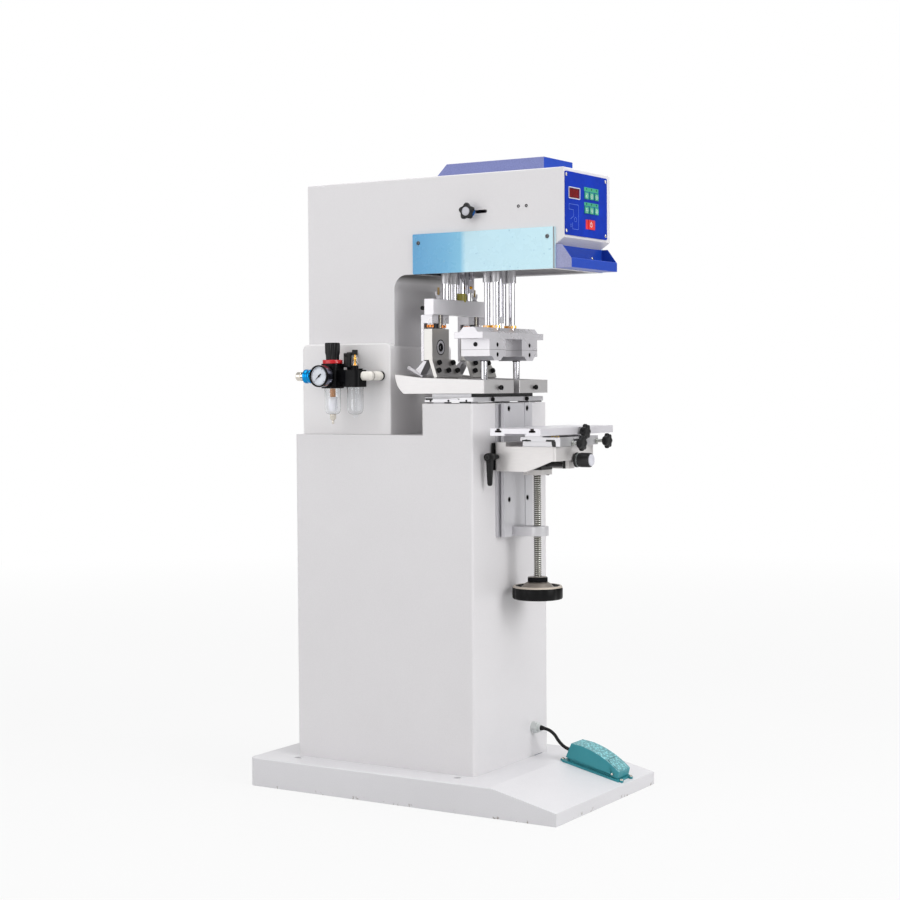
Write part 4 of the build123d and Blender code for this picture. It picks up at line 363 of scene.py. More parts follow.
WHITE_PAINT = srgb(219, 217, 219)
M = {
    "paint": powder_coat("paint_light_grey", WHITE_PAINT),
    "paint_base": powder_coat("paint_base", srgb(214, 213, 216), True),
    # painted light: a lighter copy of the white paint, standing for the light on the lower casing
    "paint_casing_painted_light": powder_coat("paint_casing_painted_light", srgb(230, 228, 229)),
    "paint_arm": arm_paint(WHITE_PAINT),
    "blue": hammertone(),
    "table": table_material(),
    "carrier": carrier_material(),
    "lead_screw": screw_material(),
    "film": film_material(),
    "treadle": treadle_material(),
    "clear": clear_plastic("clear_bowl"),
    "clear_tube": clear_plastic("clear_tube"),
    "alu": machined("machined_aluminium", (206, 205, 208), 0.3, depth=0.06),
    "alu_x": machined("machined_aluminium_x", (206, 205, 208), 0.3, (14.0, 1.0, 1.0), 0.06),
    "alu_bright": machined("bright_aluminium", (214, 212, 216), 0.28, (1.0, 1.0, 8.0), 0.04, 0.2, 0.42),
    "cast": machined("knee_aluminium", (221, 218, 217), 0.38, (5.0, 1.0, 5.0), 0.3, 0.1, 0.4),
    "steel": machined("milled_steel", (206, 205, 209), 0.34, (14.0, 1.0, 1.0), 0.1, 0.2, 0.35),
    "rim_grey": machined("wheel_hub_alloy", (146, 138, 130), 0.42, (1.0, 1.0, 1.0), 0.2, 0.0),
    "old_brass": machined("old_brass", (176, 150, 104), 0.3, (1.0, 1.0, 4.0), 0.06, 0.0),
    "stud_steel": machined("stud_steel", (176, 170, 158), 0.26, (1.0, 1.0, 6.0), 0.05, 0.0),
    "block_steel": machined("blade_block_steel", (192, 190, 187), 0.3, (1.0, 1.0, 6.0), 0.08, 0.2, 0.82),
    "tray_cream": machined("tray_ground", (204, 202, 202), 0.34, (10.0, 1.0, 10.0), 0.1, 0.0, 0.66),
    "crossbar": machined("crossbar_aluminium", (226, 224, 228), 0.3, (8.0, 1.0, 1.0), 0.06, 0.0, 0.34),
    "plate": polished("etched_steel", (168, 170, 178), 0.16, 60.0, 0.03, "Y"),
    "chrome": polished("hard_chrome", (228, 227, 232), 0.07, 12.0, 0.004),
    "nickel": polished("bright_nickel", (214, 208, 198), 0.14),
    "gauge_side": polished("gauge_case_steel", (150, 152, 172), 0.24),
    "brass_nut": polished("brass_nut", (246, 178, 48), 0.2, 500.0, 0.08),
    "copper_nut": polished("copper_nut", (206, 128, 66), 0.24, 400.0, 0.06),
    "blue_anodised": polished("blue_anodised", (20, 140, 205), 0.2, 300.0, 0.05),
    "dark_steel": polished("dark_steel", (92, 92, 94), 0.28, 300.0, 0.06),
    "zinc_steel": polished("zinc_steel", (188, 190, 186), 0.24, 200.0, 0.06),
    "black_plastic": moulded("black_plastic", (13, 13, 15), 0.36, 700.0, 0.1, 0.0, 0.3),
    "black_gloss": moulded("black_gloss", (7, 7, 9), 0.32, 300.0, 0.04, 0.0, 0.12),
    "black_oxide": moulded("black_oxide_steel", (10, 10, 12), 0.34, 900.0, 0.1, 0.0, 0.2),
    "wheel_black": moulded("wheel_black", (5, 5, 6), 0.42, 500.0, 0.1, 0.0, 0.18),
    "rubber": moulded("black_rubber", (15, 15, 16), 0.62, 1200.0, 0.25, 0.0, 0.3),
    "anodised_black": moulded("anodised_black", (16, 16, 18), 0.36, 1400.0, 0.12, 0.0, 0.45),
    "red": moulded("red_ring", (206, 16, 30), 0.3, 600.0, 0.08, 0.3),
    "cream": moulded("cream_fitting", (234, 230, 222), 0.36, 500.0, 0.08, 0.2),
    "panel": moulded("panel_blue", (18, 50, 164), 0.45, 900.0, 0.05, 0.0, 0.1),
    "urethane": moulded("olive_urethane", (178, 168, 56), 0.3, 200.0, 0.06, 0.2),
    "ink_grey": moulded("dial_print", (86, 92, 112), 0.5, 900.0, 0.03),
    "teal": moulded("teal_side", (46, 132, 142), 0.4, 500.0, 0.06, 0.0, 0.4),
    # painted shade: dark teal for the crease round the treadle's raised plate
    "crease_shade_teal": moulded("painted_crease_shade", (20, 76, 84), 0.5, 500.0, 0.06),
    "washer_blue": moulded("blue_washer", (36, 110, 190), 0.35, 500.0, 0.06, 0.2),
    "grey_cap": moulded("silver_grey_cap", (196, 196, 204), 0.3, 600.0, 0.06, 0.3),
    "key_green": moulded("key_green", (48, 158, 122), 0.34, 900.0, 0.05, 0.25),
    "key_red": moulded("key_red", (216, 34, 40), 0.34, 900.0, 0.05, 0.25),
    "white_print": moulded("white_print", (222, 232, 230), 0.5, 900.0, 0.03),
    "pale_print": moulded("pale_print", (96, 128, 214), 0.5, 900.0, 0.03),
    "display_red": moulded("display_red", (98, 12, 18), 0.4, 300.0, 0.02, 0.0, 0.2),
    "segment_red": moulded("segment_red", (132, 22, 28), 0.4, 300.0, 0.02, 0.0, 0.2),
    "frosted": moulded("white_liner", (222, 221, 226), 0.4, 300.0, 0.1, 0.2),
    "gland": moulded("gland_grey", (204, 208, 207), 0.36, 500.0, 0.08, 0.1),
    "gauge_white": moulded("gauge_dial", (226, 231, 240), 0.45, 900.0, 0.03),
    "orange": moulded("sintered_filter", (198, 132, 74), 0.6, 1500.0, 0.4),
    "rim_face": moulded("wheel_chamfer", (182, 172, 160), 0.4, 500.0, 0.1),
    "sheet_edge": moulded("bare_sheet_edge", (138, 141, 143), 0.4, 500.0, 0.06),
}


# ---------------------------------------------------------------- geometry helpers, all in millimetres
def axes_of(w, u=None):
    w = Vector(w).normalized()
    if u is None:
        u = X if abs(w.z) > 0.9 else Z.cross(w).normalized()
    else:
        u = Vector(u).normalized()
    return u, w.cross(u), w


def ring_radius(kind, radius, turn):
    if kind == "hex":
        return radius / math.cos((turn + math.pi / 6) % (math.pi / 3) - math.pi / 6)
    if kind == "square":
        return radius / math.cos((turn + math.pi / 4) % (math.pi / 2) - math.pi / 4)
    if isinstance(kind, tuple):
        count, depth, power = kind
        return radius * (1 - depth * (0.5 - 0.5 * math.cos(count * turn)) ** power)
    return radius


def band(inner, outer, low, high):
    """The four corners of a ring's or a rectangle's section."""
    return [(inner, low), (outer, low), (outer, high), (inner, high)]


def skin(bm, low, high):
    """Faces between two closed loops of vertices."""
    count = len(low)
    for i in range(count):
        after = (i + 1) % count
        bm.faces.new((low[i], low[after], high[after], high[i]))


def solid(bm, low, high):
    """A closed solid between two loops of points."""
    low = [bm.verts.new(point) for point in low]
    high = [bm.verts.new(point) for point in high]
    bm.faces.new(list(reversed(low)))
    bm.faces.new(high)
    skin(bm, low, high)


def lathe(bm, profile, place, w=Z, u=None, steps=48, closed=False):
    """Turns rows of (radius, height) round an axis; a third value makes its row faceted, lobed or knurled."""
    u, v, w = axes_of(w, u)
    place = Vector(place)
    rings = []
    for row in profile:
        radius, height = row[0], row[1]
        kind = row[2] if len(row) > 2 else None
        if radius <= 0:
            rings.append([bm.verts.new(place + w * height)])
            continue
        ring = []
        for step in range(steps):
            turn = 2 * math.pi * step / steps
            if kind == "knurl":
                r = radius - (0.035 * radius + 0.12) * (step % 2)
            else:
                r = ring_radius(kind, radius, turn)
            point = place + u * (r * math.cos(turn)) + v * (r * math.sin(turn)) + w * height
            ring.append(bm.verts.new(point))
        rings.append(ring)
    pairs = list(zip(rings, rings[1:]))
    if closed:
        pairs.append((rings[-1], rings[0]))
    for low, high in pairs:
        if len(low) > 1 and len(high) > 1:
            skin(bm, low, high)
        elif len(low) != len(high):
            for step in range(steps):
                after = (step + 1) % steps
                if len(low) == 1:
                    bm.faces.new((low[0], high[after], high[step]))
                else:
                    bm.faces.new((low[step], low[after], high[0]))


def prism(bm, outline, place, w, depth, u=None):
    u, v, w = axes_of(w, u)
    low = [Vector(place) + u * a + v * b for a, b in outline]
    solid(bm, low, [point + w * depth for point in low])


def brick(bm, lo, hi):
    prism(bm, band(lo[0], hi[0], lo[1], hi[1]), (0, 0, lo[2]), Z, hi[2] - lo[2])


def side_bricks(bm, lo, hi):
    """A brick on the right and its mirror image on the left."""
    for side in (-1, 1):
        low, high = sorted((lo[0] * side, hi[0] * side))
        brick(bm, (low, lo[1], lo[2]), (high, hi[1], hi[2]))


def rounded(width, height, radius, steps=6):
    points = []
    for cx, cy, start in ((1, 1, 0), (-1, 1, 90), (-1, -1, 180), (1, -1, 270)):
        for i in range(steps + 1):
            turn = math.radians(start + 90 * i / steps)
            points.append((cx * (width / 2 - radius) + radius * math.cos(turn),
                           cy * (height / 2 - radius) + radius * math.sin(turn)))
    return points


def thread(bm, place, radius, pitch, length, depth, steps=24, rows=6):
    """A helical thread standing on place along Z, closed at both ends."""
    place = Vector(place)
    count = int(length / pitch * rows)
    rings = []
    for row in range(count + 1):
        height = length * row / count
        ring = []
        for step in range(steps):
            turn = 2 * math.pi * step / steps
            phase = (height / pitch - step / steps) % 1.0
            crest = min(1.0, max(0.0, abs(phase - 0.5) * 4 - 0.5))
            r = radius - depth * (1 - crest)
            ring.append(bm.verts.new(place + Vector((r * math.cos(turn), r * math.sin(turn), height))))
        rings.append(ring)
    for low, high in zip(rings, rings[1:]):
        skin(bm, low, high)
    bm.faces.new(list(reversed(rings[0])))
    bm.faces.new(rings[-1])


def piece(name, bm, finish, body, bevel=0.0, smooth=38.0, replaced=()):
    """Makes a mesh in millimetres into a piece of the scene that rides a body."""
    bmesh.ops.remove_doubles(bm, verts=bm.verts, dist=0.0005)
    bmesh.ops.recalc_face_normals(bm, faces=bm.faces)
    bmesh.ops.scale(bm, vec=(MM, MM, MM), verts=bm.verts)
    mesh = bpy.data.meshes.new(name)
    bm.to_mesh(mesh)
    bm.free()
    for polygon in mesh.polygons:
        polygon.use_smooth = True
    mesh.set_sharp_from_angle(angle=math.radians(smooth))
    mesh.materials.append(M[finish])
    obj = bpy.data.objects.new(name, mesh)
    bpy.context.scene.collection.objects.link(obj)
    if bevel:
        edges = obj.modifiers.new("edges", "BEVEL")
        edges.width = bevel * MM
        edges.segments = 2
        edges.limit_method = "ANGLE"
        edges.angle_limit = math.radians(40)
    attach(obj, body)
    if replaced:
        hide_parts(*replaced)
    return obj


def turned(name, finish, body, profile, places, w=Z, smooth=38.0, replaced=(), **turning):
    """One piece of turned parts: the same profile at one place, or at each place of a list."""
    bm = bmesh.new()
    for place in places if isinstance(places, list) else [places]:
        lathe(bm, profile, place, w, **turning)
    return piece(name, bm, finish, body, smooth=smooth, replaced=replaced)


def cap_screw(bm, place, w, radius, height, socket, knurled=True):
    """A socket head screw standing on place, facing w."""
    kind = "knurl" if knurled else None
    edge = radius * 0.1
    rows = [(radius, -0.6, kind), (radius, height - edge, kind), (radius - edge, height),
            (socket + 0.35, height), (socket, height - 0.25, "hex"), (socket, height * 0.4, "hex"),
            (0, height * 0.4 - 0.3)]
    lathe(bm, rows, place, w)


def button_screw(bm, place, w, radius, height, recess_kind="hex"):
    """A low domed screw with a hexagonal or square recess."""
    recess = radius * 0.42
    rows = [(radius, -0.3), (radius, height * 0.25), (radius * 0.86, height * 0.72),
            (radius * 0.62, height), (recess + 0.2, height), (recess, height - 0.2, recess_kind),
            (recess, height * 0.35, recess_kind), (0, height * 0.3)]
    lathe(bm, rows, place, w, steps=36)


# ---------------------------------------------------------------- CAD nodes
def dress(node, material, bevel, segments):
    obj = NODES[node]
    if not obj.material_slots:
        obj.data.materials.append(M[material])
    for slot in obj.material_slots:
        slot.link = "OBJECT"
        slot.material = M[material]
    if bevel:
        weld = obj.modifiers.new("weld", "WELD")
        weld.merge_threshold = 0.02 * MM
        round_over = obj.modifiers.new("edges", "BEVEL")
        round_over.width = bevel * MM
        round_over.segments = segments
        round_over.limit_method = "ANGLE"
        round_over.angle_limit = math.radians(35)
        round_over.harden_normals = False
        round_over.miter_outer = "MITER_ARC"
        normals = obj.modifiers.new("normals", "WEIGHTED_NORMAL")
        normals.keep_sharp = True
        normals.weight = 60


# Each node's material, edge radius in millimetres and bevel segments
DRESS = {
    "base_plate": ("paint_base", 2.2, 3), "column": ("paint", 1.6, 3), "rear_cover": ("paint", 0.5, 2),
    "lower_casing": ("paint_casing_painted_light", 0.8, 2), "housing": ("paint_arm", 0.0, 3),
    "side_covers": ("film", 1.2, 3), "top_tray": ("blue", 0.4, 2), "front_tray": ("blue", 0.4, 2),
    "control_panel": ("panel", 0.3, 1), "display_window": ("display_red", 0.3, 1),
    "stop_stud": ("chrome", 0.3, 1), "stop_knob": ("black_plastic", 0.8, 2), "carriage": ("alu", 0.5, 2),
    "carriage_drive": ("chrome", 0.0, 1), "pad_guide_rods": ("chrome", 0.3, 1),
    "pad_plate": ("alu_bright", 0.6, 2), "pad_holders": ("alu_bright", 0.5, 2),
    "pad_spindles": ("chrome", 0.4, 1), "crossbar": ("crossbar", 0.8, 2),
    "doctor_guide_rods": ("chrome", 0.3, 1), "bumper": ("urethane", 1.0, 2),
    "wing_studs": ("nickel", 0.4, 1), "blade_hangers": ("alu_bright", 0.5, 2),
    "blade_block_left": ("block_steel", 0.5, 2), "blade_block_right": ("block_steel", 0.5, 2),
    "ink_tray_left": ("tray_cream", 0.8, 2), "ink_tray_right": ("tray_cream", 0.8, 2),
    "etched_plates": ("plate", 0.3, 1), "tray_bracket": ("alu_x", 0.8, 2),
    "tray_carrier": ("carrier", 0.6, 2), "slide_rail": ("steel", 0.6, 2), "nut_bracket": ("alu", 0.6, 2),
    "knee": ("cast", 1.2, 3), "slide_guide": ("alu_x", 0.6, 2), "lifting_screw": ("steel", 0.0, 1),
    "handwheel": ("wheel_black", 1.0, 2), "clamp_lever": ("black_oxide", 0.6, 2),
    "cross_slide": ("alu_x", 0.6, 2), "worktable": ("table", 0.6, 2),
    "table_lock_knob": ("black_plastic", 0.6, 2), "slide_lock_knob": ("black_plastic", 0.6, 2),
    "gib_lock_knob": ("black_plastic", 0.6, 2), "feed_dial": ("anodised_black", 0.4, 1),
    "air_unit_body": ("black_gloss", 1.0, 2), "regulator_knob": ("black_plastic", 0.8, 2),
    "air_bowls": ("clear", 0.8, 2), "oil_cap": ("black_plastic", 0.4, 1),
    "pressure_gauge": ("black_gloss", 0.4, 1), "air_fittings": ("nickel", 0.4, 1),
    "cable_gland": ("gland", 0.5, 1), "pedal_base": ("teal", 0.7, 2), "treadle": ("treadle", 1.6, 3),
    "pedal_cable": ("rubber", 0.0, 1), "stop_key": ("key_red", 0.6, 2),
}
for number in range(1, 7):
    DRESS["key_%d" % number] = ("key_green", 0.5, 2)
for node_name in NODES:
    dress(node_name, *DRESS[node_name])


# ---------------------------------------------------------------- floor, world and lamps
def make_floor():
    """A pale floor that turns into the white backdrop away from the object."""
    s = Shader("studio_floor")
    tone = s.ramp(s.noise(1.4, 4.0), (0.3, srgb(202, 202, 202)), (0.7, srgb(206, 206, 206)))
    s.put(s.bsdf.inputs["Base Color"], tone)
    s.put(s.bsdf.inputs["Roughness"], 0.75)
    glow = s.node("Emission", {"Color": WHITE, "Strength": 1.0})
    ray = s.node("LightPath").outputs
    axes = s.place()
    reach = s.math("SQRT", s.math("ADD", s.math("POWER", axes[0], 2.0), s.math("POWER", axes[1], 2.0)))
    share = s.spread(reach, 0.85, 1.0, 1.2, 5.0)
    seen = s.math("MULTIPLY", s.math("MAXIMUM", ray["Is Camera Ray"], ray["Is Glossy Ray"]), share)
    blend = s.node("MixShader", {0: seen, 1: s.bsdf.outputs[0], 2: glow.outputs[0]})
    s.put(s.output.inputs["Surface"], blend.outputs[0])
    mesh = bpy.data.meshes.new("floor")
    grid = bmesh.new()
    bmesh.ops.create_grid(grid, x_segments=8, y_segments=8, size=14.0)
    grid.to_mesh(mesh)
    grid.free()
    mesh.materials.append(s.material)
    floor = bpy.data.objects.new("floor", mesh)
    bpy.context.scene.collection.objects.link(floor)


def make_world():
    """White to the camera; to everything else, walls in bands and a soft ceiling for the metal to reflect."""
    world = bpy.data.worlds.new("studio")
    bpy.context.scene.world = world
    world.use_nodes = True
    g = Graph(world.node_tree)
    sky = g.node("TexCoord").outputs["Generated"]
    facing = g.node("VectorMath", {0: sky, 1: TOWARDS_CAMERA}, operation="DOT_PRODUCT")
    around = g.spread(facing.outputs["Value"], 0.0, 1.0, -1.0, 1.0)
    walls = g.ramp(around, *((place, (level, level, level, 1.0)) for place, level in WALL_BANDS))
    ceiling = g.spread(g.separate(sky)[2], 0.0, 0.6, 0.3, 0.7)
    soft = g.node("Background", {"Color": g.math("MAXIMUM", walls, ceiling), "Strength": 1.0})
    white = g.node("Background", {"Color": WHITE, "Strength": 1.0})
    ray = g.node("LightPath").outputs
    seen = g.math("MAXIMUM", ray["Is Camera Ray"], ray["Is Transmission Ray"])
    choose = g.node("MixShader", {0: seen, 1: soft.outputs[0], 2: white.outputs[0]})
    g.node("OutputWorld", {0: choose.outputs[0]})


def lamp(name, place, target, size, power):
    data = bpy.data.lights.new(name, "AREA")
    data.shape = "RECTANGLE"
    data.size, data.size_y = size
    data.energy = power
    obj = bpy.data.objects.new(name, data)
    place, target = Vector(place), Vector(target)
    turn = (target - place).to_track_quat("-Z", "Y").to_matrix().to_4x4()
    obj.matrix_world = Matrix.Translation(place) @ turn
    bpy.context.scene.collection.objects.link(obj)


make_camera()
make_floor()
make_world()
lamp("softbox_left", (-3.6, 1.7, 1.8), (0.0, 0.0, 0.8), (4.9, 3.2), 78.0)
lamp("softbox_front", (-0.2, -3.6, 1.9), (0.0, 0.0, 0.7), (2.2, 2.2), 74.0)
lamp("softbox_top", (0.0, -0.6, 3.6), (0.0, 0.0, 0.8), (3.0, 3.0), 72.0)


# ---------------------------------------------------------------- foot switch cable
def make_cable():
    points = [(84.7, -158.9, 115.4), (84.7, -172.9, 115.4), (87, -188.5, 105.8), (89.8, -197, 90.3),
        (92, -211.1, 78.3), (92, -222.8, 75.7)]
    data = bpy.data.curves.new("switch_cable", "CURVE")
    data.dimensions = "3D"
    data.bevel_depth = 3.3 * MM
    data.bevel_resolution = 6
    data.resolution_u = 16
    spline = data.splines.new("NURBS")
    spline.points.add(len(points) - 1)
    for point, place in zip(spline.points, points):
        point.co = (place[0] * MM, place[1] * MM, place[2] * MM, 1)
    spline.order_u = 3
    spline.use_endpoint_u = True
    data.materials.append(M["rubber"])
    cable = bpy.data.objects.new("switch_cable", data)
    bpy.context.scene.collection.objects.link(cable)
    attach(cable, "frame")
    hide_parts("pedal_cable")


make_cable()


# ---------------------------------------------------------------- arm, covers, trays and panel
def arm_details():
    bm = bmesh.new()
    for y in (7, -278):
        button_screw(bm, (-98.4, y, 1078), -X, 4, 2.2)
        button_screw(bm, (98.4, y, 1078), X, 4, 2.2)
    piece("cover_screws", bm, "dark_steel", "frame", smooth=30)
    bm = bmesh.new()
    side_bricks(bm, (98.3, -293.4, 1018.2), (98.62, -290.2, 1095.2))
    piece("cover_edges", bm, "sheet_edge", "frame")

    turned("cheek_grub_screws", "black_oxide", "frame", [(2.9, -0.2), (2.9, 0.5), (2.4, 0.8), (1.5, 0.8),
        (1.3, 0.55, "hex"), (1.3, 0, "hex"), (0, -0.1)], [(-94.4, y, 1137.6) for y in (-214.5, -231.5)], -X,
        steps=36, smooth=30)

    bm = bmesh.new()
    for x in (-88.2, 72.5):
        for z in (1087.5, 1191.5):
            button_screw(bm, (x, -313.2, z), -Y, 3.3, 1.4, "square")
    piece("panel_screws", bm, "nickel", "frame", smooth=30)

    bm = bmesh.new()
    button_screw(bm, (52, -294.6, 1043.4), -Y, 3.4, 1.6)
    button_screw(bm, (-52, -294.6, 1043.4), -Y, 3.4, 1.6)
    piece("tray_rivets", bm, "nickel", "frame", smooth=30)

    bm = bmesh.new()
    brick(bm, (90, -141.15, 56.95), (122, -140.8, 57.9))
    piece("foot_gap", bm, "ink_grey", "frame")

    bm = bmesh.new()
    lathe(bm, band(6.2, 9.4, 0, 0.9), (-97.4, -112, 1132), -X, closed=True)
    lathe(bm, band(6.2, 8.2, 0, 0.7), (-100.6, -112, 1132), -X, closed=True)
    piece("stop_washers", bm, "washer_blue", "stop_knob", smooth=30)

    lobes = (5, 0.24, 1)
    turned("stop_star_knob", "black_plastic", "stop_knob", [(0, -0.2), (6, -0.2), (6, 9),
        (9.5, 10.2, (5, 0.2, 1)), (15.3, 10.8, lobes), (16.5, 12.4, lobes), (16.5, 17.6, lobes),
        (15.4, 19.4, lobes), (13, 20, (5, 0.14, 1)), (9.2, 20), (8.6, 19.2), (0, 19)], STOP, -X, u=Z,
        steps=80, smooth=44, replaced=("stop_knob",))
    turned("stop_knob_cap", "grey_cap", "stop_knob", [(8.3, 18.9), (8.3, 19.35), (7.8, 19.7), (0, 19.8)],
        STOP, -X, steps=40, smooth=44)


def key_marks():
    """Generic marks on the six function keys and the stop key."""
    face = -314.6
    pads = [(-8, 1158.5), (12.5, 1158.5), (33, 1158.5), (-8, 1131.5), (12.5, 1131.5), (33, 1131.5)]
    for number, (x, z) in enumerate(pads, 1):
        mark = bmesh.new()
        place = (x, face + 0.05, z - 0.5)
        lathe(mark, band(3.7, 4.3, 0, 0.25), place, -Y, steps=32, closed=True)
        if number in (1, 4):
            prism(mark, [(-1.6, -1.8), (1.9, 0), (-1.6, 1.8)], place, -Y, 0.25)
        elif number in (2, 5):
            lathe(mark, band(1, 1.7, 0, 0.25), place, -Y, steps=24, closed=True)
        else:
            for shift in (-1.5, 0, 1.5):
                low, high = shift - 0.35, shift + 0.35
                prism(mark, band(-2, 2, low, high), place, -Y, 0.25)
        piece("key_mark_%d" % number, mark, "white_print", "key_%d" % number)
    bm = bmesh.new()
    lathe(bm, band(3.8, 4.7, 0, 0.25), (9.5, face + 0.05, 1104.5), -Y, steps=36, closed=True)
    prism(bm, band(-0.5, 0.5, 0.4, 6.2), (9.5, face + 0.05, 1104.5), -Y, 0.3)
    piece("stop_key_mark", bm, "white_print", "stop_key")

    bm = bmesh.new()
    for x in (-8, 12.5, 33):
        for z in (1171.2, 1143.1):
            lathe(bm, band(0, 1.5, 0.3, 0), (x + 1, -313.45, z), -Y, steps=20)
    lathe(bm, band(0, 1, 0.25, 0), (10, PANEL_FACE, 1117.6), -Y, steps=20)
    piece("key_lamps", bm, "black_gloss", "frame")

    bm = bmesh.new()
    for z0, z1 in ((1166.2, 1174.2), (1139.2, 1145.8)):
        brick(bm, (-17, -313.5, z0), (42, -313.1, z1))
    piece("key_headers", bm, "key_green", "frame")
    bm = bmesh.new()
    brick(bm, (-10.6, -313.5, 1095.6), (25.4, -313.1, 1113.4))
    piece("stop_surround", bm, "key_red", "frame")

    bm = bmesh.new()
    outer, inner = rounded(46, 22, 3), rounded(42.4, 18.4, 1.6)
    u, v, w = axes_of(-Y)
    place = Vector((-57, -313.2, 1159))
    rows = []
    for outline, lift in ((outer, 0), (outer, 0.9), (inner, 0.9), (inner, 0)):
        rows.append([bm.verts.new(place + u * a + v * b + w * lift) for a, b in outline])
    for low, high in zip(rows, rows[1:] + rows[:1]):
        skin(bm, low, high)
    piece("display_bezel", bm, "grey_cap", "frame", smooth=30)

    bm = bmesh.new()
    segments = ((0, 1, 1), (1, 0.5, 0), (1, -0.5, 0), (0, -1, 1), (-1, -0.5, 0), (-1, 0.5, 0))
    for digit in range(3):
        for sx, sz, flat in segments:
            cx = -70 + 13 * digit + 3.2 * sx
            cz = 1159 + 5.4 * sz
            half = (2.3, 0.7) if flat else (0.7, 2.2)
            brick(bm, (cx - half[0], -312.65, cz - half[1]), (cx + half[0], -312.35, cz + half[1]))
    piece("display_segments", bm, "segment_red", "frame")

    bm = bmesh.new()
    strokes = [((-78, 1138), (-40, 1138)), ((-40, 1138), (-40, 1092)), ((-78, 1138), (-78, 1128)),
        ((-78, 1128), (-60, 1128)), ((-60, 1128), (-60, 1116)), ((-60, 1116), (-72, 1110)),
        ((-40, 1092), (-64, 1092)), ((-64, 1092), (-64, 1104))]
    for (xa, za), (xb, zb) in strokes:
        a, b = Vector((xa, PANEL_FACE, za)), Vector((xb, PANEL_FACE, zb))
        run = (b - a).normalized()
        side = run.cross(Y) * 0.35
        corners = (a + side, b + side, b - side, a - side)
        solid(bm, corners, [corner - Y * 0.22 for corner in corners])
    for x, z, r in ((-52, 1110, 4.5), (-70, 1098, 3.2)):
        lathe(bm, band(r - 0.6, r, 0, 0.22), (x, PANEL_FACE, z), -Y, steps=28, closed=True)
    piece("panel_diagram", bm, "pale_print", "frame")


arm_details()
key_marks()


# ---------------------------------------------------------------- pad head and doctor heads
def pad_head_details():
    turned("pad_collars", "brass_nut", "pad_head", [(6.1, 912.3), (8.2, 912.3), (8.9, 912.9, "knurl"),
        (8.9, 916.9, "knurl"), (8.3, 917.8), (6.1, 917.8)], [(x, y, 0) for x in (-31, 31) for y in (-127.6,
        -108.4)], steps=72, closed=True, smooth=30)

    bm = bmesh.new()
    lathe(bm, [(7.6, 912.4, "hex"), (7.6, 921, "hex"), (6.9, 922.2), (5.2, 922.2)], (0, -118, 0))
    lathe(bm, [(5.1, 922.2), (5.8, 922.2), (5.8, 933.5), (5.1, 934.6)], (0, -118, 0), steps=40)
    piece("pad_rod_nut", bm, "nickel", "pad_head", smooth=30)

    turned("pad_clamp_screws", "black_oxide", "pad_head", [(4.2, 0), (4.2, 2.4), (3.9, 2.6), (2.3, 2.6),
        (2.1, 2.4, "hex"), (2.1, 1, "hex"), (0, 0.9)],
        [(x, -146.5, z) for x in PAD_STATIONS for z in (879.1, 860.1)], -Y, steps=36, smooth=30)

    bm = bmesh.new()
    for x in PAD_STATIONS:
        brick(bm, (x - 31.15, -149.65, 869.35), (x + 31.15, -86.4, 869.85))
    piece("pad_parting_lines", bm, "dark_steel", "pad_head")

    bm = bmesh.new()
    for x, w in ((-94, -X), (94, X)):
        lathe(bm, [(4.3, -0.3), (4.3, 1.2), (3.8, 1.7), (2.1, 1.7), (2, 1.4, "hex"), (2, 0.5, "hex"),
            (0, 0.4)], (x, -118.7, 879.7), w, steps=36)
    piece("pad_side_screws", bm, "black_oxide", "pad_head", smooth=30)

    turned("spindle_rings", "black_oxide", "pad_head", band(6.8, 7.6, 847.2, 848.9),
        [(x, -119, 0) for x in PAD_STATIONS], steps=40, closed=True, smooth=30)


